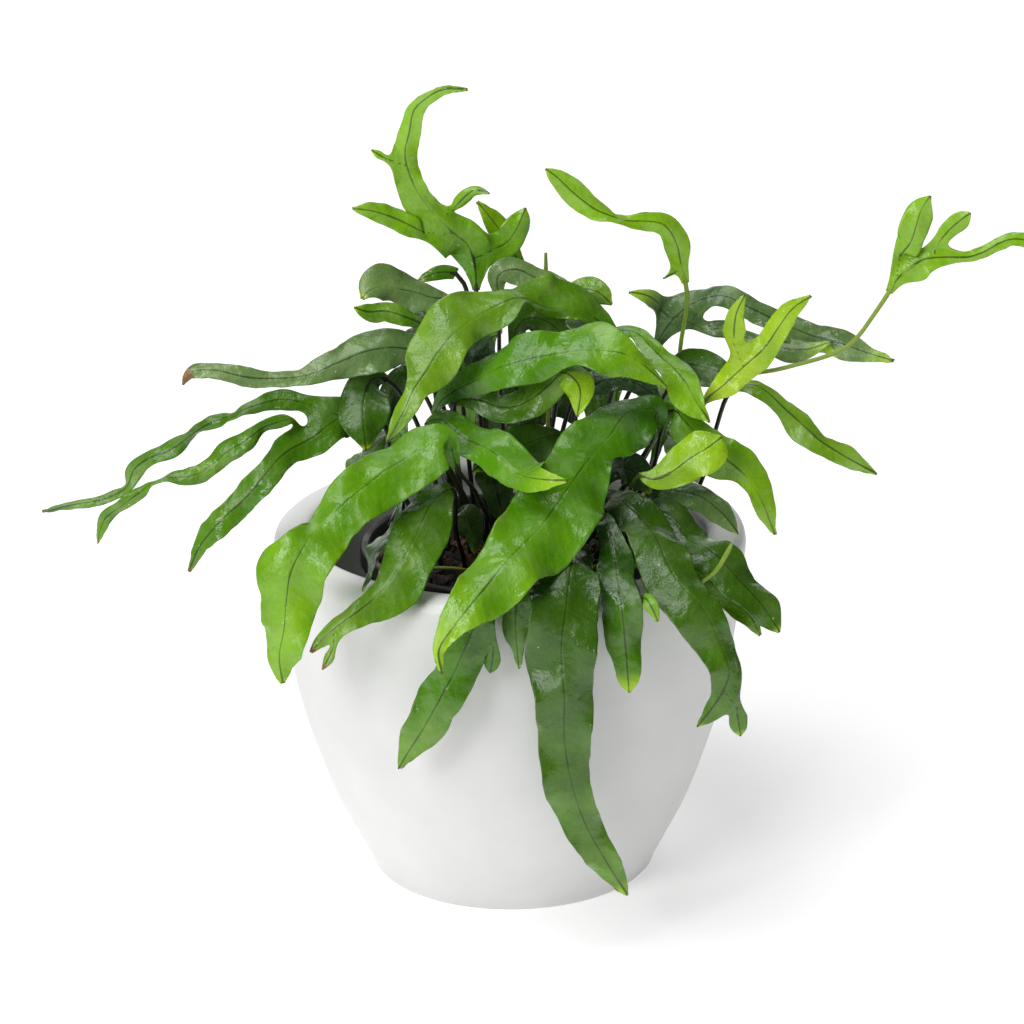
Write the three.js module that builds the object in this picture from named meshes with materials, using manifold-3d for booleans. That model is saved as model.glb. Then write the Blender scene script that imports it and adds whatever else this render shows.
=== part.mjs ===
// Kangaroo paw fern (Microsorum diversifolium) growing in a nursery pot that stands inside
// a thick-walled white ceramic pot. Millimetres, +Z up. The origin is the centre of the
// ceramic pot's foot, and -Y is the side that the longest fronds hang over.
import * as THREE from "three";
import { mergeVertices } from "three/addons/utils/BufferGeometryUtils.js";
import Module from "manifold-3d";

const wasm = await Module();
wasm.setup();

// ---- driving dimensions ----
const gap = 0.3; // clearance between neighbouring pieces
const pot = {
  height: 145,
  foot: 57, // radius of the flat foot
  // [radius, height] up the outside, from the rounded foot to the widest ring under the lip
  outside: [[58, 1.2], [59.8, 6], [64.2, 14.5], [74.3, 36], [85.8, 72], [92.2, 108], [95.5, 138]],
  // [radius, height] over the rounded lip, from the outside to the mouth
  lip: [[94.6, 142], [91, 144.4], [85, 145], [81.5, 144], [80, 141.5]],
  wall: 9, // thickness at the foot
  thickening: 4.5, // how much thicker the wall is at the lip
  floor: 8,
  sides: 44,
};
const nursery = {
  height: 129, // stands on the ceramic pot's floor
  foot: 43,
  top: 58,
  rim: 60.5, // outer radius of the turned-out rim
  rimDepth: 7,
  wall: 1.6,
  sides: 40,
};
const soil = {
  edge: 131, // height of the surface at the nursery pot's wall
  crown: 134, // height of the surface in the middle
  lump: 1.1, // how far the surface rises and dips
  hole: 2.2, // radius of the holes that the stalks stand in
  holeDepth: 9,
  holeTall: 30,
};
const stipe = { width: 2.6, thick: 2.2 };
const blade = {
  edgeThick: 0.8,
  ribThick: 1.3,
  stationStep: 6.9, // distance between sections along a blade
  stipeStep: 15,
  waveLength: 33,
  waveHeight: 2.6,
  waveShift: 1.1, // how far the wave runs ahead from the midrib to a margin, in radians
  ruffle: 0.08, // how far the margins swell and draw in, as a share of the width
  ruffleLength: 25,
  ruffleShift: 2.3,
  leastWidth: 1.4,
  arch: 0.1, // how far the margins fall, as a share of the width
};

// ---- colours ----
const leaf = (colour, roughness) =>
  new THREE.MeshStandardMaterial({ color: colour, roughness, metalness: 0 });
const greens = {
  dark: leaf(0x2f6b38, 0.42),
  mid: leaf(0x3f8c36, 0.4),
  bright: leaf(0x5fae35, 0.38),
  lime: leaf(0x9ccb3a, 0.4),
};
const glazeWhite = leaf(0xf1f1f0, 0.55);
const blackPlastic = leaf(0x1b1c1d, 0.5);
const barkSoil = leaf(0x33241a, 0.95);

// ---- fronds ----
// path: [x, y, z, width] from the stipe to the tip, or [x, y, z, left, right] where the midrib
// doesn't run along the middle of the blade. It starts from the root, which gives the place
// where the stipe stands in the soil. face: the way the upper side looks.
// turns: row of the path -> degrees by which the blade is rolled there.
// lobes: paths of the fingers of a forked blade, each starting just outside the margin.
const fronds = {
  frond_crown_forked: {
    green: "mid",
    root: [-7, 15],
    face: [0, -0.95, 0.3],
    path: [
      [-10, 14, 190, 2.6], [-12, 10, 240, 3], [-12, 10, 247, 8], [-13, 10, 253, 14],
      [-15, 9, 259, 19], [-21, 8, 265, 9.5, 7], [-29, 6, 274, 8.5, 4.5], [-36, 4, 286, 7, 4],
      [-39, 3, 298, 5, 5], [-37, 2, 307, 4, 4.5], [-35, 1, 316, 3, 4], [-30, 0, 321, 2, 3],
      [-23, -2, 325, 1, 2.2], [-14, -3, 325, 1.5],
    ],
    lobes: [
      [
        [-5, 12, 256, 13], [1, 14, 259, 12], [5, 15, 265, 10], [8, 16, 272, 4],
      ],
      [
        [-32, 6, 265, 9], [-38, 4, 269, 8.5], [-46, 3, 273, 8], [-54, 1, 276, 6.5],
        [-60, 0, 277, 1.6],
      ],
      [
        [-21, 5, 274, 5], [-17, 4, 279, 5], [-12, 3, 283, 4], [-6, 2, 282, 1.4],
      ],
      [
        [-46, 2, 296, 5], [-49, 2, 298, 3.5], [-52, 2, 300, 1.4],
      ],
    ],
  },
  frond_crown_pale: {
    green: "bright",
    root: [4, 26],
    face: [0, -0.95, 0.3],
    path: [
      [7, 28, 200, 2.6], [6, 26, 235, 2.6], [5, 26, 246, 6], [1, 26, 255, 8], [-5, 26, 264, 8],
      [-11, 26, 272, 1.6],
    ],
  },
  frond_dark_top: {
    green: "dark",
    root: [0, 20],
    face: [0, -0.9, 0.5],
    path: [
      [-3, 16, 200, 2.6], [-3, 8, 236, 2.8], [-3, 6, 247, 9], [4, 5, 250, 11], [13, 4, 246, 10],
      [23, 3, 241, 8], [31, 2, 236, 2],
    ],
  },
  frond_arch_left: {
    green: "dark",
    root: [23, -4],
    face: [0, -0.75, 0.65],
    turns: { 5: 20, 7: -10 },
    path: [
      [37, -7, 185, 2.6], [44, -8, 223, 3.2], [38, -9, 231, 2.5, 5], [29, -11, 237, 4, 11],
      [16, -14, 240, 2.5, 14], [7, -18, 244, 2, 8], [-1, -22, 244, 9, 7.5],
      [-14, -29, 239, 7, 13.5], [-26, -37, 230, 10, 13.5], [-31, -41, 223, 9, 10],
      [-36, -45, 217, 6, 3.5], [-41, -48, 207, 4, 4], [-47, -50, 197, 2],
    ],
  },
  frond_dark_middle: {
    green: "dark",
    root: [7, 10],
    face: [0, -0.9, 0.5],
    path: [[5, 4, 190, 2.6], [2, 0, 218, 2.8], [6, 0, 230, 10], [14, -1, 231, 12], [23, -3, 225, 10],
      [32, -5, 219, 2]],
  },
  frond_middle_bright: {
    green: "bright",
    root: [-12, -2],
    face: [0, -0.75, 0.65],
    path: [
      [-27, -10, 180, 2.6], [-29, -20, 198, 2.8], [-24, -24, 207, 5, 3], [-11, -30, 216, 7.5, 6],
      [6, -35, 224, 10.5, 9.5], [23, -37, 228, 11.5, 5.5], [37, -38, 229, 13, 10],
      [49, -38, 226, 5, 8.5], [57, -37, 219, 2.5, 4.5], [62, -35, 213, 2],
    ],
  },
  frond_right_narrow: {
    green: "mid",
    root: [14, 13],
    face: [0.2, -0.8, 0.6],
    path: [
      [25, 13, 190, 2.6], [39, 4, 222, 2.8], [50, 0, 225, 6], [57, -8, 221, 3.5, 4.5],
      [64, -18, 217, 7, 6], [71, -26, 210, 5, 8.6], [75, -31, 204, 2.6, 6.5], [79, -34, 198, 1.8],
    ],
  },
  frond_lime_paw: {
    green: "lime",
    root: [37, 0],
    face: [0, -0.95, 0.3],
    path: [
      [55, -4, 165, 2.4], [72, -8, 182, 2.4], [78, -14, 200, 2.8], [85, -16, 207, 10],
      [93, -17, 215, 13], [101, -18, 223, 11], [107, -18, 232, 9], [112, -18, 239, 7],
      [119, -18, 244, 1.6],
    ],
    lobes: [
      [
        [89, -19, 225, 9], [89, -20, 232, 9], [90, -21, 239, 6.5], [93, -22, 246, 1.8],
      ],
    ],
  },
  frond_right_forked: {
    green: "dark",
    root: [30, 26],
    face: [0, -0.8, 0.6],
    path: [
      [49, 28, 190, 2.6], [60, 24, 210, 2.8], [62, 22, 216, 6], [67, 20, 224, 13],
      [76, 17, 232, 13], [86, 14, 235, 9.5], [97, 11, 231, 9], [109, 7, 226, 11], [120, 4, 222, 11],
      [132, 0, 219, 12], [143, -4, 216, 8], [153, -8, 214, 2],
    ],
    lobes: [
      [
        [62, 20, 230, 9], [57, 19, 234, 7], [49, 18, 236, 1.8],
      ],
      [
        [79, 15, 221, 8], [87, 12, 222, 6.5], [96, 9, 219, 7], [107, 3, 217, 9], [118, -2, 217, 8],
        [129, -4, 221, 1.8],
      ],
    ],
  },
  frond_right_dark: {
    green: "dark",
    root: [30, 11],
    face: [0, -0.8, 0.6],
    path: [[51, 9, 175, 2.6], [65, 6, 200, 2.8], [70, 5, 210, 11], [79, 3, 209, 15], [88, 1, 206, 10],
      [93, 0, 202, 2]],
  },
  frond_right_drooping: {
    green: "mid",
    root: [48, 7],
    face: [0, -0.8, 0.6],
    path: [
      [75, 9, 154, 2.4], [79, 8, 162, 2.4], [83, 6, 180, 2.4], [90, 2, 200, 3.2],
      [99, 0, 202, 2.5, 4.5], [111, -4, 193, 3, 4], [118, -6, 187, 4.5, 7], [124, -8, 181, 3.2, 6],
      [136, -10, 174, 4.5, 3.5], [147, -12, 168, 1.8],
    ],
  },
  frond_right_curved: {
    green: "mid",
    root: [40, -2],
    face: [0.2, -0.85, 0.5],
    path: [
      [57, -8, 168, 2.6], [61, -15, 189, 2.8], [65, -20, 199, 10], [73, -27, 193, 7, 9],
      [82, -31, 184, 8, 9.5], [93, -33, 175, 9.5, 3.5], [100, -33, 163, 6, 4.5],
      [105, -32, 150, 1.8],
    ],
  },
  frond_lime_curled: {
    green: "lime",
    root: [28, -19],
    face: [0, -0.9, 0.4],
    path: [
      [45, -34, 165, 2.4], [51, -42, 179, 2.4], [56, -44, 178, 8], [63, -45, 181, 13],
      [71, -45, 187, 8, 9], [78, -44, 191, 8.5, 10], [83, -43.5, 195, 4, 9],
    ],
  },
  frond_centre_broad: {
    green: "bright",
    root: [30, -12],
    face: [0.1, -0.75, 0.65],
    path: [
      [49, -19, 172, 2.8], [58, -24, 191, 3.4], [58, -29, 202, 9, 6], [46, -37, 203, 15, 9],
      [40, -46, 198, 12, 12], [35, -52, 194, 7, 15], [25, -68, 187, 16, 13],
      [13, -86, 176, 17.5, 15.5], [1, -100, 168, 14.5, 11.5], [-12, -113, 156, 11, 10],
      [-21, -120, 147, 4.5, 7], [-27, -123, 139, 2.5, 2.5], [-26, -125, 130, 2],
    ],
  },
  frond_centre_pale: {
    green: "bright",
    root: [-9, -9],
    face: [0, -0.7, 0.7],
    path: [
      [-25, -18, 178, 2.6], [-32, -29, 197, 3], [-27, -34, 200, 5.5, 5.5], [-18, -43, 197, 8.5, 9],
      [-7, -56, 194, 10.5, 6.5], [4, -73, 191, 11.5, 7], [9, -80, 191, 5.5, 6],
      [13, -84, 192, 4.5, 4], [22, -90, 194, 1.8],
    ],
  },
  frond_left_broad: {
    green: "bright",
    root: [-3, -19],
    face: [-0.1, -0.8, 0.6],
    path: [
      [-13, -40, 172, 2.6], [-20, -56, 188, 3.2], [-24, -59, 201, 10, 5],
      [-34, -61, 197, 13.5, 9.5], [-46, -68, 192, 13.5, 10.5], [-60, -77, 184, 12, 9.5],
      [-72, -89, 177, 13.5, 5.5], [-78, -97, 171, 14, 8], [-83, -102, 163, 14, 14.5],
      [-85, -104, 152, 12.5, 10.5], [-86, -105, 140, 10, 9], [-88, -105, 130, 8, 6],
      [-87, -105, 119, 4],
    ],
  },
  frond_left_double_tip: {
    green: "mid",
    root: [-18, -30],
    face: [-0.1, -0.8, 0.6],
    path: [
      [-21, -44, 158, 2.6], [-22, -55, 179, 5], [-29, -61, 176, 9, 8], [-35, -70, 168, 12, 9],
      [-41, -81, 160, 12, 8.5], [-48, -91, 152, 12, 4.5], [-58, -98, 145, 6.5, 4],
      [-65, -102, 141, 4.5, 4], [-71, -104, 137, 2.8, 2.8], [-76, -106, 132, 1.6],
    ],
    lobes: [
      [
        [-67, -105, 134, 5], [-69, -106, 130, 4.5], [-72, -107, 125, 1.8],
      ],
    ],
  },
  frond_left_bluish: {
    green: "dark",
    root: [-28, -21],
    face: [-0.8, -0.3, 0.5],
    path: [[-41, -36, 160, 2.6], [-42, -43, 170, 3], [-46, -52, 166, 13], [-50, -61, 161, 15],
      [-54, -70, 154, 13], [-57, -78, 146, 2]],
  },
  frond_left_brown_tip: {
    green: "dark",
    root: [-18, 9],
    face: [0, -0.85, 0.55],
    path: [
      [-25, 4, 190, 2.6], [-33, -4, 216, 4], [-42, -8, 222, 15], [-53, -11, 222, 18],
      [-66, -14, 218, 13], [-79, -17, 214, 8], [-92, -18, 213, 6.5], [-104, -18, 214, 7],
      [-116, -18, 217, 7], [-125, -18, 216, 5], [-128, -18, 211, 1.6],
    ],
  },
  frond_left_hanging: {
    green: "dark",
    root: [-25, -2],
    face: [0, -0.9, 0.4],
    path: [[-37, -2, 190, 2.6], [-48, -2, 207, 3.2], [-54, -8, 209, 13], [-57, -18, 204, 20],
      [-57, -26, 196, 17], [-56, -31, 187, 3]],
  },
  frond_left_three_fingers: {
    green: "mid",
    root: [-33, -7],
    face: [0, -0.85, 0.55],
    path: [
      [-47, -8, 172, 2.6], [-49, -8, 189, 2.8], [-56, -8, 193, 6], [-66, -10, 194, 17],
      [-76, -17, 189, 14], [-88, -26, 185, 11], [-100, -34, 173, 11], [-113, -37, 161, 10],
      [-122, -38, 151, 7], [-127, -38, 140, 1.6],
    ],
    lobes: [
      [
        [-80, -9, 200, 8], [-90, -10, 202, 8.5], [-99, -11, 200, 6], [-108, -12, 197, 5],
        [-116, -12, 194, 6], [-125, -12, 189, 5], [-134, -11, 182, 7], [-144, -11, 178, 7],
        [-150, -10, 173, 7], [-153, -10, 166, 5], [-162, -10, 161, 4.5], [-173, -10, 159, 3.4],
        [-187, -10, 156, 1.4],
      ],
      [
        [-83, -18, 197, 6], [-90, -20, 196, 5], [-97, -22, 194, 6], [-103, -24, 190, 8],
        [-110, -24, 186, 8.5], [-118, -24, 179, 8], [-126, -24, 175, 7], [-138, -24, 174, 5.5],
        [-147, -24, 168, 5], [-155, -24, 162, 5], [-161, -24, 157, 6], [-164, -24, 147, 1.4],
      ],
    ],
    lobeTurns: [{ 3: 45, 5: -60, 9: 55 }, { 2: -40, 7: 45, 9: -50 }],
  },
  frond_left_upper: {
    green: "dark",
    root: [-14, 16],
    face: [0, -0.85, 0.55],
    path: [
      [-19, 12, 200, 2.6], [-22, 8, 236, 3.2], [-30, 7, 238, 5, 5], [-37, 6, 241, 9.5, 6.5],
      [-44, 4, 243, 4.5, 9.5], [-50, 2, 244, 4.5, 10], [-54, 1, 243, 3, 7], [-57, 0, 240, 3],
    ],
  },
  frond_left_olive: {
    green: "mid",
    root: [-21, 18],
    face: [0, -0.85, 0.55],
    path: [
      [-29, 12, 195, 2.6], [-32, -2, 228, 3.2], [-40, -6, 234, 7], [-48, -7, 237, 8],
      [-55, -8, 237, 7], [-60, -8, 239, 2.4],
    ],
  },
  frond_left_rear: {
    green: "dark",
    root: [-7, 25],
    face: [0, -0.95, 0.3],
    path: [
      [-11, 24, 205, 2.6], [-17, 20, 240, 2.8], [-20, 20, 244, 5], [-27, 19, 245, 6],
      [-35, 18, 242, 2],
    ],
  },
  frond_top_crinkled: {
    green: "mid",
    root: [12, 21],
    face: [0, -0.9, 0.4],
    path: [[21, 18, 200, 2.6], [24, 12, 232, 2.8], [28, 12, 239, 8], [36, 10, 239, 10],
      [42, 8, 234, 3.2]],
  },
  frond_middle_curled: {
    green: "mid",
    root: [-2, -5],
    face: [0, -0.8, 0.6],
    path: [
      [-13, -12, 178, 2.6], [-21, -19, 202, 2.8], [-13, -23, 205, 8.5], [-2, -27, 203, 6, 6.5],
      [8, -29, 206, 7, 8], [16, -31, 213, 12], [22, -34, 219, 12], [28, -38, 214, 12],
      [27, -41, 203, 2.4],
    ],
  },
  frond_middle_grey: {
    green: "dark",
    root: [18, -9],
    face: [0, -0.9, 0.4],
    path: [[25, -13, 178, 2.6], [27, -14, 200, 2.8], [33, -16, 208, 9], [44, -18, 211, 9],
      [54, -20, 208, 8], [61, -20, 201, 1.8]],
  },
  frond_front_right_long: {
    green: "dark",
    root: [21, -25],
    face: [0.2, -0.8, 0.6],
    path: [
      [34, -36, 158, 2.8], [39, -45, 171, 9], [51, -60, 168, 20], [57, -75, 162, 21],
      [63, -88, 153, 10, 11], [72, -96, 145, 7.5, 13], [78, -100, 136, 6, 10.5],
      [81, -102, 128, 7, 9], [83, -103, 120, 6, 8], [80, -103, 111, 6.5, 4],
      [76, -102, 104, 5, 2.5], [71, -101, 97, 2],
    ],
    lobes: [
      [
        [86, -101, 105, 8], [87, -100, 98, 7], [88, -99, 92, 3.5],
      ],
    ],
  },
  frond_front_right_broad: {
    green: "dark",
    root: [35, -19],
    face: [0.4, -0.8, 0.5],
    path: [
      [49, -34, 156, 2.8], [54, -41, 163, 12], [62, -47, 163, 17], [71, -58, 158, 19],
      [81, -68, 153, 19], [91, -75, 145, 17], [99, -78, 135, 13], [104, -79, 127, 2.4],
    ],
  },
  frond_front_right_grey: {
    green: "dark",
    root: [40, -11],
    face: [0.3, -0.7, 0.7],
    path: [[55, -16, 158, 2.6], [56, -24, 167, 8], [64, -28, 168, 12], [75, -33, 167, 13],
      [83, -37, 162, 11], [90, -41, 154, 1.8]],
  },
  frond_front_right_olive: {
    green: "mid",
    root: [42, -28],
    face: [0.4, -0.8, 0.5],
    path: [[59, -44, 151, 2.6], [66, -56, 153, 5], [73, -62, 151, 11], [81, -67, 143, 11],
      [91, -69, 132, 10], [97, -69, 122, 3]],
  },
  sprout_front_right: {
    green: "lime",
    root: [33, -35],
    face: [0.2, -0.8, 0.5],
    path: [[51, -56, 152, 2], [61, -69, 150, 2], [71, -78, 147, 2], [78, -83, 153, 2],
      [82, -85, 160, 3.4], [85, -85, 166, 1.6]],
  },
  frond_front_longest: {
    green: "dark",
    root: [9, -30],
    face: [0, -0.95, 0.2],
    path: [
      [17, -52, 158, 2.8], [24, -74, 160, 12], [23, -92, 158, 22], [21, -108, 149, 12.5, 13],
      [19, -112, 134, 14, 13.5], [20, -113, 116, 11, 11.5], [20, -111, 96, 11, 10],
      [23, -107, 76, 7, 11], [29, -102, 55, 6, 9], [37, -98, 38, 5, 6.5], [44.5, -94, 23, 4],
    ],
  },
  frond_front_hidden: {
    green: "mid",
    root: [-2, -37],
    face: [-0.3, -0.9, 0.2],
    path: [[2, -60, 156, 2.6], [4, -80, 157, 6], [3, -97, 154, 9], [2, -101, 140, 10],
      [3, -101, 122, 2]],
  },
  frond_front_short: {
    green: "mid",
    root: [19, -33],
    face: [0, -0.9, 0.4],
    path: [
      [33, -50, 158, 2.6], [37, -64, 169, 6], [40, -81, 160, 13], [41.5, -95, 151, 13.5],
      [43, -100, 139, 15], [44, -102, 127, 13.5], [44.5, -102, 119, 9], [45, -102, 112, 4],
    ],
  },
  frond_front_forked: {
    green: "mid",
    root: [-9, -35],
    face: [-0.1, -0.95, 0.2],
    path: [
      [-8, -62, 157, 2.6], [-8, -84, 155, 6], [-11, -104, 150, 14], [-16, -108, 137, 17],
      [-23, -108, 121, 17], [-33, -105, 101, 16], [-40, -101, 88, 9], [-44, -98, 80, 2],
    ],
    lobes: [[[-6.5, -106, 133, 7], [-7, -106, 128, 6.5], [-8, -105, 122, 4]]],
  },
  sprout_front: {
    green: "bright",
    root: [29, -38],
    face: [0, -0.9, 0.4],
    path: [[42, -60, 150, 2], [48, -75, 147, 2], [50, -90, 146, 2.4], [52, -100, 149, 5.4],
      [54, -102, 146, 5.2], [56, -102, 141, 1.8]],
  },
  frond_inner_left: {
    green: "dark",
    root: [-16, -11],
    face: [0, -0.8, 0.6],
    path: [[-18, -20, 152, 2.6], [-18, -24, 160, 7], [-16, -27, 156, 12], [-14, -29, 150, 9],
      [-14, -30, 143, 2]],
  },
  frond_inner_green: {
    green: "dark",
    root: [2, -16],
    face: [0, -0.8, 0.5],
    path: [[1, -20, 150, 2.6], [-3, -21, 158, 9], [-5, -22, 168, 14], [-7, -23, 177, 9], [-8, -23, 184, 2]],
  },
  frond_inner_blue: {
    green: "dark",
    root: [-9, 4],
    face: [0, -0.8, 0.5],
    path: [[-11, -2, 190, 2.6], [-12, -8, 210, 3.2], [-13, -10, 218, 10], [-9, -13, 225, 10],
      [-4, -15, 229, 1.8]],
  },
  frond_tall_zigzag: {
    green: "bright",
    root: [39, 16],
    face: [0, -0.95, 0.3],
    turns: { 9: 50 },
    path: [
      [57, 16, 170, 2.4], [67, 17, 192, 2.4], [70, 15, 217, 2.4], [72, 8, 234, 2.4], [71, 3, 244, 3],
      [69, 0, 253, 7], [67, -2, 262, 10], [62, -4, 270, 9], [55, -6, 272, 7], [45, -8, 273, 5.5],
      [36, -8, 277, 8], [27, -8, 284, 9.5], [20, -8, 291, 7], [16, -8, 294, 1.6],
    ],
    lobes: [
      [
        [66, 0, 249, 4], [62, -1, 247, 1.4],
      ],
    ],
  },
  frond_far_right_paw: {
    green: "bright",
    root: [44, -5],
    face: [0, -0.95, 0.3],
    path: [
      [62, 0, 166, 2.4], [73, -1, 187, 2.4], [88, -9, 207, 2.4], [110, -12, 213, 2.4],
      [134, -14, 222, 2.4], [145, -14, 236, 2.4], [150, -14, 244, 3], [153, -14, 249, 6],
      [157, -14, 253, 12], [163, -14, 257, 12], [169, -14, 258, 9], [175, -14, 258, 5],
      [181, -14, 258, 4], [187, -14, 260, 4.5], [192, -14, 263, 5.5], [198, -14, 265, 5.5],
      [205, -14, 264, 5], [210, -14, 262, 1.6],
    ],
    lobes: [
      [
        [154, -14, 259, 11], [158, -14, 264, 11], [160, -15, 271, 11], [162, -15, 278, 9],
        [165, -16, 283, 3],
      ],
      [
        [169, -14, 264, 7], [173, -14, 269, 7], [177, -15, 273, 7], [181, -15, 276, 4],
      ],
    ],
  },
  frond_inner_deep: {
    green: "dark",
    root: [11, -18],
    face: [-0.1, -0.8, 0.6],
    path: [[17, -24, 170, 2.6], [21, -27, 190, 4], [13, -33, 192, 14], [3, -38, 189, 16],
      [-8, -42, 186, 11], [-14, -45, 183, 2]],
  },
  frond_inner_back: {
    green: "dark",
    root: [22, 31],
    face: [0, -0.9, 0.4],
    path: [[26, 33, 160, 2.6], [27, 35, 176, 3.5], [20, 36, 184, 14], [8, 37, 184, 22],
      [-5, 37, 178, 20], [-14, 36, 168, 3]],
  },
  frond_inner_right: {
    green: "dark",
    root: [26, -24],
    face: [0, -0.9, 0.4],
    path: [[36, -27, 164, 2.6], [38, -27, 172, 5], [43, -28, 178, 13], [50, -30, 176, 13],
      [56, -33, 168, 3]],
  },
  frond_back_left: {
    green: "dark",
    root: [-19, 30],
    face: [0, 0.6, 0.8],
    path: [[-23, 44, 180, 2.6], [-25, 54, 203, 6], [-27, 70, 212, 17], [-31, 90, 203, 20],
      [-39, 108, 180, 18], [-49, 120, 152, 13], [-56, 126, 128, 2.5]],
  },
  frond_back_middle: {
    green: "mid",
    root: [-5, 35],
    face: [0, 0.6, 0.8],
    path: [[-6, 52, 185, 2.6], [-7, 64, 206, 6], [-9, 82, 213, 18], [-13, 104, 198, 20],
      [-17, 122, 168, 17], [-19, 132, 138, 12], [-19, 136, 118, 2.5]],
  },
  frond_back_right: {
    green: "dark",
    root: [14, 37],
    face: [0, 0.6, 0.8],
    path: [[19, 56, 182, 2.6], [23, 70, 204, 6], [28, 90, 209, 19], [34, 112, 192, 21],
      [39, 128, 162, 18], [43, 136, 134, 12], [45, 140, 116, 2.5]],
  },
  frond_back_far_right: {
    green: "mid",
    root: [32, 35],
    face: [0.2, 0.6, 0.8],
    path: [[43, 52, 172, 2.6], [47, 66, 187, 6], [51, 84, 191, 16], [58, 102, 177, 17],
      [66, 116, 152, 14], [73, 124, 130, 2.5]],
  },
  frond_back_low_left: {
    green: "mid",
    root: [-33, 21],
    face: [-0.4, 0.5, 0.8],
    path: [[-41, 36, 158, 2.6], [-45, 50, 167, 8], [-52, 66, 165, 16], [-60, 82, 149, 16],
      [-67, 94, 127, 11], [-71, 99, 108, 2.5]],
  },
  frond_back_low_right: {
    green: "dark",
    root: [44, 25],
    face: [0.4, 0.5, 0.8],
    path: [[59, 38, 156, 2.6], [63, 52, 166, 8], [67, 70, 164, 16], [73, 88, 148, 16],
      [79, 100, 126, 11], [83, 106, 108, 2.5]],
  },
  frond_back_low_middle: {
    green: "dark",
    root: [4, 44],
    face: [0, 0.6, 0.8],
    path: [[5, 62, 152, 2.6], [3, 76, 162, 8], [1, 94, 160, 17], [-3, 110, 142, 17],
      [-7, 120, 118, 11], [-9, 123, 100, 2.5]],
  },
  frond_back_low_inner: {
    green: "mid",
    root: [25, 44],
    face: [0, 0.6, 0.8],
    path: [[31, 62, 151, 2.6], [35, 78, 159, 8], [39, 96, 155, 15], [41, 112, 137, 15],
      [42, 121, 114, 10], [42, 124, 98, 2.5]],
  },
  frond_back_low_outer: {
    green: "bright",
    root: [-23, 40],
    face: [-0.2, 0.6, 0.8],
    path: [[-30, 58, 152, 2.6], [-35, 74, 159, 8], [-41, 90, 152, 15], [-47, 104, 134, 14],
      [-52, 111, 112, 2.5]],
  },
  frond_inner_rear: {
    green: "dark",
    root: [-22, 10],
    face: [0, -0.9, 0.4],
    path: [[-29, 5, 188, 2.6], [-36, 9, 201, 3], [-41, 10, 206, 8], [-46, 9, 200, 10],
      [-48, 8, 190, 8], [-47, 8, 180, 2]],
  },
  sprout_creeping: {
    green: "lime",
    root: [-33, -32],
    face: [0, -0.9, 0.4],
    path: [[-30, -35, 139, 2.2], [-22, -36, 139, 2.2], [-13, -37, 138, 1.8]],
  },
  sprout_crown: {
    green: "lime",
    root: [14, 27],
    face: [0, -0.95, 0.3],
    path: [[17, 30, 200, 2], [16, 28, 234, 2], [16, 28, 243, 2.4], [16, 28, 250, 1.6]],
  },
};

// ---- helpers ----
const vector = (row) => new THREE.Vector3(row[0], row[1], row[2]);

// How far the left and the right margin stand from the midrib.
const halves = (row) => (row.length > 4 ? [row[3], row[4]] : [row[3] / 2, row[3] / 2]);
const spread = (row) => halves(row)[0] + halves(row)[1];

// Value of a row of numbers at a place between its entries, on a smooth curve.
function smooth(values, place) {
  const last = values.length - 1;
  const i = Math.min(Math.floor(place), last - 1);
  const f = place - i;
  const [a, b, c, d] = [i - 1, i, i + 1, i + 2].map(
    (k) => values[Math.max(0, Math.min(last, k))],
  );
  const bend = (3 * (b - c) + d - a) * f + 2 * a - 5 * b + 4 * c - d;
  return b + 0.5 * f * (c - a + f * bend);
}

// Places along a path, closer together on the blade than on the stipe.
function places(rows, stepOf) {
  const list = [0];
  for (let i = 0; i + 1 < rows.length; i++) {
    const length = vector(rows[i]).distanceTo(vector(rows[i + 1]));
    const steps = Math.max(1, Math.round(length / stepOf(i)));
    for (let k = 1; k <= steps; k++) list.push(i + k / steps);
  }
  return list;
}

// Sections of a blade: its middle, the direction across it, and the way it faces.
function sections(rows, face, turns, stepOf) {
  const curve = new THREE.CatmullRomCurve3(rows.map(vector));
  const last = rows.length - 1;
  const roll = rows.map((_, i) => THREE.MathUtils.degToRad(turns[i] ?? 0));
  const half = (place, side) =>
    Math.max(blade.leastWidth / 2, smooth(rows.map((row) => halves(row)[side]), place));
  return places(rows, stepOf).map((place) => {
    const along = curve.getTangent(place / last);
    const up = new THREE.Vector3(...face);
    up.addScaledVector(along, -up.dot(along)).normalize();
    up.applyAxisAngle(along, smooth(roll, place));
    return {
      place,
      middle: curve.getPoint(place / last),
      across: along.clone().cross(up),
      up,
      left: half(place, 0),
      right: half(place, 1),
    };
  });
}

// Height of the blade's surface over its middle line; side runs from -1 to 1.
function lift(side, width, distance, phase) {
  const swing = (2 * Math.PI * distance) / blade.waveLength + phase + side * blade.waveShift;
  const wave = blade.waveHeight * Math.min(1, width / 20) * Math.sin(swing);
  return Math.abs(side) * (wave - blade.arch * width);
}

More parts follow.
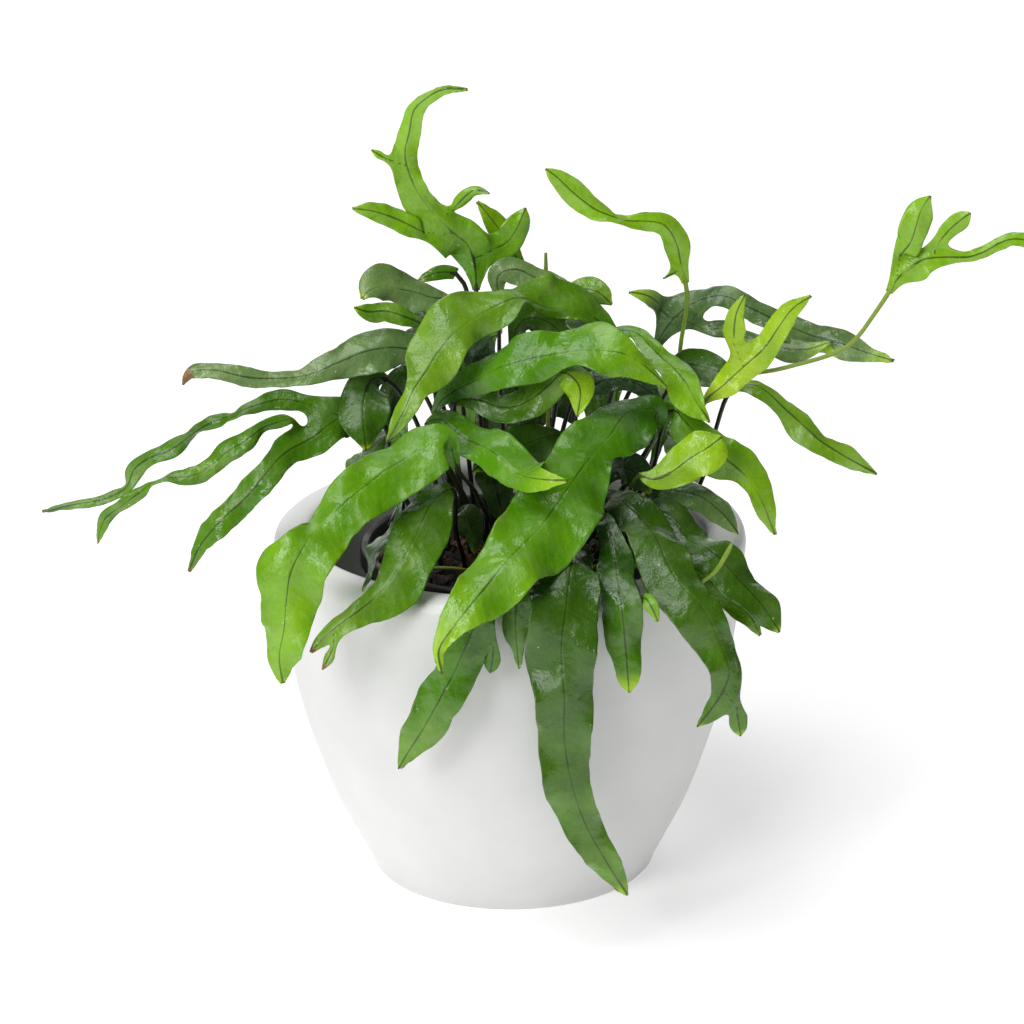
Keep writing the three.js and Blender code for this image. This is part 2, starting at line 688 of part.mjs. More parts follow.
// One section's points, upper side first, from the left margin to the right.
function ring(section, columns, distance, phase, isStipe) {
  const { left, right } = section;
  const ruffle = isStipe ? 0 : blade.ruffle;
  const points = [];
  for (const sign of [1, -1])
    for (let j = 0; j < columns; j++) {
      const side = (2 * j) / (columns - 1) - 1;
      const beat = (2 * Math.PI * distance) / blade.ruffleLength + side * blade.ruffleShift + phase;
      const swell = 1 + ruffle * Math.sin(beat);
      const ribShare = (1 - Math.abs(side)) ** 2;
      const thick = isStipe
        ? stipe.thick * (0.4 + 0.6 * ribShare) * Math.min(1, (left + right) / stipe.width)
        : blade.edgeThick + (blade.ribThick - blade.edgeThick) * ribShare;
      points.push(
        section.middle
          .clone()
          .addScaledVector(section.across, side * (side < 0 ? left : right) * swell)
          .addScaledVector(
            section.up,
            lift(side, isStipe ? 0 : left + right, distance, phase) + (sign * thick) / 2,
          ),
      );
    }
  return points;
}

class Skin {
  points = [];
  faces = [];
  add(points) {
    const first = this.points.length;
    this.points.push(...points);
    return points.map((_, i) => first + i);
  }
  quad(a, b, c, d) {
    this.faces.push([a, b, c], [a, c, d]);
  }
  // Joins two rings of the same number of points, with both faces split along the same
  // diagonals. Margins listed in open stay open.
  bridge(from, to, open = []) {
    const n = from.length / 2;
    for (let j = 0; j + 1 < n; j++) {
      this.quad(from[j], from[j + 1], to[j + 1], to[j]);
      this.quad(from[n + j], to[n + j], to[n + j + 1], from[n + j + 1]);
    }
    if (!open.includes(-1)) this.quad(from[n], from[0], to[0], to[n]);
    if (!open.includes(1)) this.quad(from[n - 1], from[2 * n - 1], to[2 * n - 1], to[n - 1]);
  }
  cap(loop, atEnd) {
    const n = loop.length / 2;
    for (let j = 0; j + 1 < n; j++)
      if (atEnd) this.quad(loop[j], loop[j + 1], loop[n + j + 1], loop[n + j]);
      else this.quad(loop[j + 1], loop[j], loop[n + j], loop[n + j + 1]);
  }
  geometry() {
    const made = new THREE.BufferGeometry();
    const flat = this.points.flatMap((point) => point.toArray());
    made.setAttribute("position", new THREE.Float32BufferAttribute(flat, 3));
    made.setIndex(this.faces.flat());
    made.computeVertexNormals();
    return made;
  }
}

// Where a finger leaves the blade: the margin it grows from and the sections it spans.
function fork(list, lobe) {
  const start = vector(lobe[0]);
  let best = { distance: Infinity };
  list.forEach((section, i) => {
    for (const side of [-1, 1]) {
      const reach = side < 0 ? -section.left : section.right;
      const edge = section.middle.clone().addScaledVector(section.across, reach);
      const distance = edge.distanceTo(start);
      if (distance < best.distance) best = { distance, i, side };
    }
  });
  const reach = Math.max(1, Math.round((0.55 * spread(lobe[0])) / blade.stationStep));
  return { side: best.side, first: best.i - reach, last: best.i + reach };
}

function frondGeometry(frond, phase) {
  const [x, y] = frond.root;
  const floor = soil.edge - soil.holeDepth + gap;
  const rows = [[x, y, floor, stipe.width], [x, y, soil.crown + 4, stipe.width], ...frond.path];
  const bladeStart = rows.findIndex((row) => spread(row) > 2 * stipe.width) - 1;
  const turns = {};
  for (const [row, degrees] of Object.entries(frond.turns ?? {})) turns[Number(row) + 2] = degrees;
  const isStipe = (place) => bladeStart < 0 || place < bladeStart;
  const step = (i) => (isStipe(i) ? blade.stipeStep : blade.stationStep);
  const list = sections(rows, frond.face, turns, step);
  const forks = (frond.lobes ?? []).map((lobe) => fork(list, lobe));
  const skin = new Skin();
  let distance = 0;
  const rings = list.map((section, i) => {
    if (i) distance += section.middle.distanceTo(list[i - 1].middle);
    return skin.add(ring(section, 3, distance, phase, isStipe(section.place)));
  });
  rings.slice(1).forEach((loop, i) => {
    const open = forks.filter((f) => i >= f.first && i < f.last).map((f) => f.side);
    skin.bridge(rings[i], loop, open);
  });
  skin.cap(rings[0], false);
  skin.cap(rings.at(-1), true);
  forks.forEach((f, k) => {
    const spine = rings.slice(f.first, f.last + 1);
    const corner = f.side > 0 ? 2 : 0;
    const margin = f.side > 0 ? spine.reverse() : spine;
    let from = [...margin.map((loop) => loop[corner]), ...margin.map((loop) => loop[corner + 3])];
    let length = 0;
    const fingerTurns = frond.lobeTurns?.[k] ?? {};
    const fingers = sections(frond.lobes[k], frond.face, fingerTurns, () => blade.stationStep);
    fingers.forEach((section, i) => {
      if (i) length += section.middle.distanceTo(fingers[i - 1].middle);
      const to = skin.add(ring(section, margin.length, length, phase + k, false));
      skin.bridge(from, to);
      from = to;
    });
    skin.cap(from, true);
  });
  return skin.geometry();
}

// A solid of revolution about Z from [radius, height] points that close on themselves.
function turned(profile, sides) {
  const closed = [...profile, profile[0]].map(([r, z]) => new THREE.Vector2(r, z));
  return new THREE.LatheGeometry(closed, sides).rotateX(Math.PI / 2);
}

function solidOf(geometry) {
  const bare = geometry.clone();
  bare.deleteAttribute("normal");
  bare.deleteAttribute("uv");
  const merged = mergeVertices(bare, 1e-4);
  return new wasm.Manifold(
    new wasm.Mesh({
      numProp: 3,
      vertProperties: merged.attributes.position.array,
      triVerts: new Uint32Array(merged.index.array),
    }),
  );
}

function geometryOf(solid) {
  const { vertProperties, triVerts } = solid.getMesh();
  const made = new THREE.BufferGeometry();
  made.setAttribute("position", new THREE.BufferAttribute(vertProperties, 3));
  made.setIndex(new THREE.BufferAttribute(triVerts, 1));
  made.computeVertexNormals();
  return made;
}

// ---- pieces ----
function potGeometry() {
  const curve = new THREE.SplineCurve(pot.outside.map(([r, z]) => new THREE.Vector2(r, z)));
  const outside = curve.getPoints(10).map((point) => [point.x, point.y]);
  const inside = outside
    .filter(([, z]) => z > pot.floor + 2 && z < pot.height - 10)
    .map(([r, z]) => [r - pot.wall - pot.thickening * (z / pot.height), z])
    .reverse();
  const bottom = [[inside.at(-1)[0] - 2, pot.floor], [0, pot.floor], [0, 0], [pot.foot, 0]];
  return turned([...bottom, ...outside, ...pot.lip, ...inside], pot.sides);
}

const nurseryZ = pot.floor + gap;
const nurseryRadius = (z) =>
  nursery.foot + ((nursery.top - nursery.foot) * (z - nurseryZ)) / nursery.height;

function nurseryGeometry() {
  const top = nurseryZ + nursery.height;
  const rimStart = top - nursery.rimDepth;
  return turned(
    [
      [0, nurseryZ],
      [nursery.foot, nurseryZ],
      [nurseryRadius(rimStart), rimStart],
      [nursery.rim, rimStart],
      [nursery.rim, top],
      [nursery.top - nursery.wall, top],
      [nursery.foot - nursery.wall, nurseryZ + nursery.wall],
      [0, nurseryZ + nursery.wall],
    ],
    nursery.sides,
  );
}

function soilGeometry() {
  const base = nurseryZ + nursery.wall + gap;
  const edgeAt = (z) => nurseryRadius(z) - nursery.wall - gap * 1.6;
  const profile = [[0, base], [edgeAt(base), base], [edgeAt(soil.edge), soil.edge]];
  for (const share of [0.82, 0.61, 0.39, 0.2])
    profile.push([share * edgeAt(soil.edge), soil.crown - (soil.crown - soil.edge) * share ** 2]);
  profile.push([0, soil.crown]);
  const body = turned(profile, nursery.sides);
  const at = body.attributes.position;
  for (let i = 0; i < at.count; i++) {
    const [x, y, z] = [at.getX(i), at.getY(i), at.getZ(i)];
    if (z > soil.edge + 0.1)
      at.setZ(i, z + soil.lump * Math.sin(x * 0.31 + 1) * Math.cos(y * 0.27 + 0.4));
  }
  let solid = solidOf(body);
  for (const { root } of Object.values(fronds)) {
    const { hole: radius, holeTall: tall } = soil;
    const hole = new THREE.CylinderGeometry(radius, radius, tall, 6).rotateX(Math.PI / 2);
    hole.translate(root[0], root[1], soil.edge - soil.holeDepth + tall / 2);
    solid = solid.subtract(solidOf(hole));
  }
  return geometryOf(solid);
}

// ---- the whole plant ----
const fern = new THREE.Group();
function place(name, geometry, material) {
  const mesh = new THREE.Mesh(geometry, material);
  mesh.name = name;
  fern.add(mesh);
}
place("pot", potGeometry(), glazeWhite);
place("nursery_pot", nurseryGeometry(), blackPlastic);
place("soil", soilGeometry(), barkSoil);
Object.entries(fronds).forEach(([name, frond], i) =>
  place(name, frondGeometry(frond, i * 1.7), greens[frond.green]),
);

export default fern;
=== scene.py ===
# A kangaroo paw fern in a white ceramic pot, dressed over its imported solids.
import math
import random

import bpy
import numpy as np
from mathutils import Matrix, Vector, kdtree, noise


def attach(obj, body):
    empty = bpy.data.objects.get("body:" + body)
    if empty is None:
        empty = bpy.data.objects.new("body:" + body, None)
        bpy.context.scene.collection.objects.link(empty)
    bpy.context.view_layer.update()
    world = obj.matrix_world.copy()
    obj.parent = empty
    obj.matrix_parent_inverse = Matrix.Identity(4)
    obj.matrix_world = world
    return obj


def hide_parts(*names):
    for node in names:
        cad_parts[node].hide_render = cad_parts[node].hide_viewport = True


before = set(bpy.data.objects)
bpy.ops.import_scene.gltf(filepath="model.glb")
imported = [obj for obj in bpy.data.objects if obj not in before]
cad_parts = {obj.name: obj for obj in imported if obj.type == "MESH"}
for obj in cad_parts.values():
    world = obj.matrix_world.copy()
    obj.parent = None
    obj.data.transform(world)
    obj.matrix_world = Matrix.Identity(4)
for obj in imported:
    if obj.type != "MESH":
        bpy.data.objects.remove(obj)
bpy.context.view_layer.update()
random.seed(11)
mm = 0.001


def hexColour(text):
    # sRGB hex to the linear values that shaders take
    parts = [int(text[i : i + 2], 16) / 255 for i in (1, 3, 5)]
    return [c / 12.92 if c <= 0.04045 else ((c + 0.055) / 1.055) ** 2.4 for c in parts] + [1.0]


def addNode(tree, kind, settings, inputs):
    # an input is a plain value, a node for its first output, or (node, output)
    node = tree.nodes.new("ShaderNode" + kind)
    for name, value in settings.items():
        setattr(node, name, value)
    for socket, value in inputs.items():
        if isinstance(value, bpy.types.Node):
            value = (value, 0)
        if isinstance(value, tuple):
            tree.links.new(value[0].outputs[value[1]], node.inputs[socket])
        else:
            node.inputs[socket].default_value = value
    return node


def newMaterial(name, settings):
    # settings are the shader's own sockets
    material = bpy.data.materials.new(name)
    material.use_nodes = True
    tree = material.node_tree
    shader = tree.nodes["Principled BSDF"]
    for socket, value in settings.items():
        shader.inputs[socket].default_value = value
    return material, tree, shader


def paintLayers(tree, base, layers):
    # lays colours over each other: (value, where it starts, where it is full, strength, colour)
    colour = hexColour(base)
    for value, start, full, strength, text in layers:
        share = addNode(
            tree,
            "MapRange",
            {"interpolation_type": "SMOOTHSTEP"},
            {"Value": value, "From Min": start, "From Max": full, "To Max": strength},
        )
        colour = (addNode(tree, "Mix", {"data_type": "RGBA"}, {0: share, 6: colour, 7: hexColour(text)}), 2)
    return colour


def perMetre(size):
    # pattern scale from a real size in millimetres
    return 1000 / size


def connect(tree, shader, sockets):
    for socket, (node, output) in sockets.items():
        tree.links.new(node.outputs[output], shader.inputs[socket])


def selectOnly(piece):
    bpy.ops.object.select_all(action="DESELECT")
    piece.select_set(True)
    bpy.context.view_layer.objects.active = piece


def addModifier(piece, kind, **settings):
    selectOnly(piece)
    modifier = piece.modifiers.new(kind.title(), kind)
    for name, value in settings.items():
        setattr(modifier, name, value)
    bpy.ops.object.modifier_apply(modifier=modifier.name)


def newPiece(name, points, faces, edges=()):
    mesh = bpy.data.meshes.new(name)
    mesh.from_pydata([tuple(point) for point in points], list(edges), faces)
    piece = bpy.data.objects.new(name, mesh)
    bpy.context.collection.objects.link(piece)
    return piece


def joinPieces(pieces, name):
    selectOnly(pieces[0])
    for piece in pieces[1:]:
        piece.select_set(True)
    bpy.ops.object.join()
    pieces[0].name = pieces[0].data.name = name
    return pieces[0]


def finishPiece(piece, node):
    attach(piece, "root")
    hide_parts(node)


def smoothValue(values, place):
    # value at a place between a list's entries, on a smooth curve
    last = len(values) - 1
    i = min(int(place), last - 1)
    f = place - i
    a, b, c, d = [values[max(0, min(last, k))] for k in (i - 1, i, i + 1, i + 2)]
    bend = (3 * (b - c) + d - a) * f + 2 * a - 5 * b + 4 * c - d
    return b + 0.5 * f * (c - a + f * bend)


def spunShell(name, outline, steps):
    # an outline of [radius, height] in millimetres, spun once about Z in edit mode
    points = [(r * mm, 0, z * mm) for r, z in outline]
    edges = [(i, i + 1) for i in range(len(points) - 1)]
    piece = newPiece(name, points, [], edges)
    selectOnly(piece)
    bpy.ops.object.mode_set(mode="EDIT")
    bpy.ops.mesh.select_all(action="SELECT")
    bpy.ops.mesh.spin(steps=steps, angle=2 * math.pi, center=(0, 0, 0), axis=(0, 0, 1))
    bpy.ops.mesh.select_all(action="SELECT")
    bpy.ops.mesh.remove_doubles(threshold=1e-6)
    bpy.ops.mesh.normals_make_consistent(inside=False)
    bpy.ops.object.mode_set(mode="OBJECT")
    bpy.ops.object.shade_smooth_by_angle(angle=math.radians(40))
    return piece


potForm = {
    "height": 145,
    "foot": 57,
    "outside": [(58, 1.2), (59.8, 6), (64.2, 14.5), (74.3, 36), (85.8, 72), (92.2, 108), (95.5, 138)],
    "lip": [(95.2, 140.2), (94.4, 142.2), (93, 143.6), (91, 144.5), (88, 144.95), (85, 145),
            (82.6, 144.6), (80.9, 143.4), (80, 141.5), (79.9, 139)],
    "wall": 9,
    "thickening": 4.5,
    "floor": 8,
    "perSpan": 10,  # points between two of the outside's points
    "steps": 144,
    "cloud": 30,  # mm, slow change of the glaze's thickness
    "pits": 1.2,  # mm, coarser than real so that they show
    "glaze": "#dcdcdb",
    "thickGlaze": "#e3e3e2",
    "pitted": "#c9c9c8",
}


def potMaterial():
    # matt white glaze on stoneware: even, with a soft sheen and a barely pitted skin
    form = potForm
    material, tree, shader = newMaterial("mattWhiteGlaze", {"IOR": 1.5})
    where = (addNode(tree, "TexCoord", {}, {}), "Object")
    cloud = addNode(tree, "TexNoise", {}, {"Vector": where, "Scale": perMetre(form["cloud"]), "Detail": 3})
    pits = addNode(tree, "TexNoise", {}, {"Vector": where, "Scale": perMetre(form["pits"]), "Detail": 2})
    layers = [(cloud, 0.2, 0.8, 1, form["thickGlaze"]), (pits, 0.6, 0.9, 0.25, form["pitted"])]
    colour = paintLayers(tree, form["glaze"], layers)
    relief = addNode(tree, "Math", {"operation": "MULTIPLY_ADD"}, {0: cloud, 1: 3, 2: pits})
    bump = addNode(tree, "Bump", {}, {"Height": relief, "Strength": 0.12, "Distance": 0.3 * mm})
    sheen = {"From Min": 0.2, "From Max": 0.8, "To Min": 0.4, "To Max": 0.52}
    gloss = addNode(tree, "MapRange", {}, {"Value": cloud, **sheen})
    connect(tree, shader, {"Base Color": colour, "Normal": (bump, 0), "Roughness": (gloss, 0)})
    return material


def makePot():
    form = potForm
    radii, heights = zip(*form["outside"])
    outside = []
    for k in range((len(radii) - 1) * form["perSpan"] + 1):
        place = k / form["perSpan"]
        outside.append((smoothValue(radii, place), smoothValue(heights, place)))
    inside = [
        (r - form["wall"] - form["thickening"] * z / form["height"], z)
        for r, z in reversed(outside)
        if form["floor"] + 2 < z < form["height"] - 10
    ]
    foot = form["foot"]
    bottom = [(0, 0), (foot - 6, 0), (foot - 0.6, 0), (foot + 0.3, 0.35)]
    corner = inside[-1][0]
    base = [(corner - 2, form["floor"] + 0.6), (corner - 5, form["floor"]), (0, form["floor"])]
    piece = spunShell("potShell", bottom + outside + form["lip"] + inside + base, form["steps"])
    piece.data.materials.append(potMaterial())
    finishPiece(piece, "pot")
    print("pot made")


nurseryForm = {
    "base": 8.3,
    "height": 129,
    "foot": 43,
    "top": 58,
    "rim": 60.5,
    "rimDepth": 7,
    "wall": 1.6,
    "steps": 96,
    "spark": 0.6,  # mm, the mould's spark texture, coarser than real so that it shows
    "dust": 9,
    "plastic": "#121213",
    "peatDust": "#35291f",
}


def nurseryMaterial():
    # moulded black polypropylene: fine sparked texture, dusty with peat
    form = nurseryForm
    material, tree, shader = newMaterial("mouldedBlackPolypropylene", {"IOR": 1.5})
    where = (addNode(tree, "TexCoord", {}, {}), "Object")
    spark = addNode(tree, "TexNoise", {}, {"Vector": where, "Scale": perMetre(form["spark"]), "Detail": 2})
    dust = addNode(tree, "TexNoise", {}, {"Vector": where, "Scale": perMetre(form["dust"]), "Detail": 5})
    colour = paintLayers(tree, form["plastic"], [(dust, 0.5, 0.8, 1, form["peatDust"])])
    bump = addNode(tree, "Bump", {}, {"Height": spark, "Strength": 0.25, "Distance": 0.2 * mm})
    sheen = {"From Min": 0.4, "From Max": 0.8, "To Min": 0.42, "To Max": 0.75}
    gloss = addNode(tree, "MapRange", {}, {"Value": dust, **sheen})
    connect(tree, shader, {"Base Color": colour, "Normal": (bump, 0), "Roughness": (gloss, 0)})
    return material


def makeNurseryPot():
    form = nurseryForm
    top = form["base"] + form["height"]
    rimLow = top - form["rimDepth"]
    slope = (form["top"] - form["foot"]) / form["height"]
    under = form["foot"] + slope * (rimLow - form["base"])
    outline = [
        (0, form["base"]), (form["foot"] - 1, form["base"]), (form["foot"], form["base"] + 1),
        (under, rimLow), (form["rim"] - 0.5, rimLow), (form["rim"], rimLow + 0.5),
        (form["rim"], top - 0.9), (form["rim"] - 0.5, top - 0.2), (form["rim"] - 1.2, top),
        (form["top"] - form["wall"] + 0.8, top), (form["top"] - form["wall"], top - 0.8),
        (form["foot"] - form["wall"], form["base"] + form["wall"]), (0, form["base"] + form["wall"]),
    ]
    piece = spunShell("nurseryPotShell", outline, form["steps"])
    piece.data.materials.append(nurseryMaterial())
    finishPiece(piece, "nursery_pot")
    print("nursery pot made")


soilForm = {
    "edge": 131,
    "crown": 134,
    "radius": 55.6,
    "crustThick": 10,
    "crustTone": 0.2,
    "crustSides": 72,
    "rings": 26,
    "lumps": (7, 1.1),  # mm apart and high
    "crumbs": (2.2, 0.5),
    "chips": 520,
    "chipLength": (3.5, 11),
    "chipWidth": (2.5, 6),
    "chipThick": (1, 2.6),
    "chipEnd": (0.3, 0.75),  # share of its width that a chip has at an end
    "chipTilt": (0.45, 0.3),  # spread of the angles about the two level axes
    "chipRough": 0.18,
    "chipClear": 1.2,  # mm from the wall
    "fibre": 2.2,
    "peat": "#0e0a08",
    "bark": "#33200f",
    "brokenBark": "#7d4a2a",
}


def barkMaterial():
    # moist bark chips and peat: black-brown, with redder broken faces and fibres
    form = soilForm
    material, tree, shader = newMaterial("moistBark", {"IOR": 1.5})
    chip = addNode(tree, "Attribute", {"attribute_name": "chipTone"}, {})
    where = (addNode(tree, "TexCoord", {}, {}), "Object")
    fibre = addNode(tree, "TexNoise", {}, {"Vector": where, "Scale": perMetre(form["fibre"]), "Detail": 5})
    shade = addNode(tree, "Math", {"operation": "MULTIPLY_ADD"}, {0: fibre, 1: 0.7, 2: (chip, "Fac")})
    layers = [(shade, 0.35, 0.95, 1, form["bark"]), (shade, 0.95, 1.55, 1, form["brokenBark"])]
    colour = paintLayers(tree, form["peat"], layers)
    bump = addNode(tree, "Bump", {}, {"Height": fibre, "Strength": 0.8, "Distance": 1.2 * mm})
    damp = {"From Min": 0.3, "From Max": 0.7, "To Min": 0.45, "To Max": 0.85}
    gloss = addNode(tree, "MapRange", {}, {"Value": fibre, **damp})
    connect(tree, shader, {"Base Color": colour, "Normal": (bump, 0), "Roughness": (gloss, 0)})
    return material


def soilHeight(x, y):
    form = soilForm
    (wide, tall), (fine, low) = form["lumps"], form["crumbs"]
    r = math.hypot(x, y) / form["radius"]
    lumps = noise.noise(Vector((x, y, 3)) / wide) * tall + noise.noise(Vector((x, y, 9)) / fine) * low
    return form["crown"] - (form["crown"] - form["edge"]) * r * r + lumps * (1 - r**6)


def makeSoil():
    form = soilForm
    bpy.ops.object.select_all(action="DESELECT")
    bpy.ops.mesh.primitive_circle_add(
        vertices=form["crustSides"], radius=form["radius"] * mm, fill_type="TRIFAN"
    )
    crust = bpy.context.active_object
    bpy.ops.object.mode_set(mode="EDIT")
    bpy.ops.mesh.select_all(action="SELECT")
    bpy.ops.mesh.subdivide(number_cuts=form["rings"])
    bpy.ops.mesh.remove_doubles(threshold=1e-6)
    bpy.ops.object.mode_set(mode="OBJECT")
    for vertex in crust.data.vertices:
        x, y = vertex.co.x / mm, vertex.co.y / mm
        vertex.co.z = soilHeight(x, y) * mm
    addModifier(crust, "SOLIDIFY", thickness=form["crustThick"] * mm, offset=-1)
    writeTone(crust, form["crustTone"])
    pieces = [crust] + [makeChip(k) for k in range(form["chips"])]
    soil = joinPieces(pieces, "barkAndPeat")
    soil.data.materials.clear()
    soil.data.materials.append(barkMaterial())
    finishPiece(soil, "soil")
    print("soil made")


def writeTone(piece, tone):
    values = piece.data.attributes.new("chipTone", "FLOAT", "POINT").data
    for value in values:
        value.value = tone


def makeChip(k):
    form = soilForm
    reach = random.uniform(*form["chipLength"]) / 2
    half = random.uniform(*form["chipWidth"]) / 2
    thick = random.uniform(*form["chipThick"]) / 2
    radius = (form["radius"] - form["chipClear"] - reach) * math.sqrt(random.random())
    turn = random.uniform(0, 2 * math.pi)
    x, y = radius * math.cos(turn), radius * math.sin(turn)
    first, second = form["chipTilt"]
    tilt = Matrix.Rotation(random.gauss(0, first), 3, "X") @ Matrix.Rotation(random.gauss(0, second), 3, "Y")
    spin = Matrix.Rotation(random.uniform(0, math.pi), 3, "Z")
    one, two = [random.uniform(*form["chipEnd"]) for _ in range(2)]
    outline = [(-1, -one), (-0.4, -1), (0.5, -1), (1, -two), (1, two), (0.3, 1), (-0.5, 1), (-1, one)]
    points = []
    for z in (-thick, thick):
        for along, across in outline:
            jitter = [random.uniform(-form["chipRough"], form["chipRough"]) for _ in range(3)]
            corner = Vector((reach * along, half * across, z)) + Vector(jitter) * half
            points.append((spin @ tilt @ corner + Vector((x, y, soilHeight(x, y) + 0.5 * thick))) * mm)
    count = len(outline)
    faces = [list(reversed(range(count))), list(range(count, 2 * count))]
    for i in range(count):
        after = (i + 1) % count
        faces.append([i, after, count + after, count + i])
    chip = newPiece(f"chip{k}", points, faces)
    writeTone(chip, random.random() ** 2)
    return chip


# Living leaf tissue: waxy, tough and full of chlorophyll. It gives a deep green with a satin
# sheen that breaks up over fine veinlets (part of it painted sheen in pale clouds), a thin dark
# midrib and a thin dark margin.
# "leafPlace" holds the distances (from the midrib, along the blade, from the margin) in
# millimetres, and "leafAgeAndLight" holds (young tip, dried tip, tone along the blade, which is partly
# painted light and shade).
# bloom: how strongly the pale clouds of wax, dust and painted sheen lie on each green
leafFinish = {
    "dark": {"deep": "#1a3a06", "body": "#3a620a", "fresh": "#669426", "under": "#648449", "bloomAndSheen": 0.12},
    "mid": {"deep": "#244d06", "body": "#497b0a", "fresh": "#7eaa24", "under": "#76964f", "bloomAndSheen": 0.22},
    "bright": {"deep": "#2b5f04", "body": "#548e06", "fresh": "#86b91c", "under": "#86aa4e", "bloomAndSheen": 0.16},
    "grey": {"deep": "#2a4628", "body": "#48693a", "fresh": "#76944f", "under": "#6e8864", "bloomAndSheen": 0.2},
    "lime": {"deep": "#5c9408", "body": "#86b60e", "fresh": "#bada2c", "under": "#a9c350", "bloomAndSheen": 0.08},
}
leafDetail = {
    "patch": 14,  # mm, clouds of lighter and darker green
    "patchTone": 0.6,  # how far the clouds shift the tone
    "rib": 0.82,  # mm from the middle of the midrib line to its edge, with the sway
    "ribSway": 0.75,  # mm that the line loses where the patches are light
    "halo": 1.5,  # mm, a paler band along the midrib
    "margin": 0.32,
    "veinPitch": 4.6,  # mm between side veins
    "veinSlope": 0.8,  # how far a side vein runs forward for each mm outwards
    "veinWander": 6,  # mm
    "rumple": 9,  # mm from one soft dent to the next
    "bloomAndSheen": 12,  # mm, clouds of wax and fine dust, and of painted sheen
    "stipple": 1.0,  # mm, the leathery grain of the skin, coarser than real so that it shows
    "scorch": 3,  # mm, the ragged edge of a dried tip
    "speckCell": 2.6,  # mm between places where a speck may sit
    "speckSize": 0.32,
    "speckLimit": 1.36,  # a speck sits where its lot and the dust add up to more
    "grooveWidth": 0.8,
    "height": {"rumple": 1.5, "vein": 0.03, "stipple": 0.2, "groove": -0.1},  # mm
    "roughness": 0.25,
    "underRoughness": 0.43,
    "ribColour": "#212d0f",
    "marginColour": "#22300c",
    "youngColour": "#a5cf1c",
    "driedColour": "#7d5c2c",
    # the pale clouds are wax and dust, and partly painted sheen
    "bloomAndSheenColour": "#aec489",
    "speckColour": "#dfe8cf",
}
# how young a stalk is where its frond doesn't say, and the slot of each green
stalkTone = {"dark": 0.0, "mid": 0.1, "bright": 0.2, "lime": 0.6}


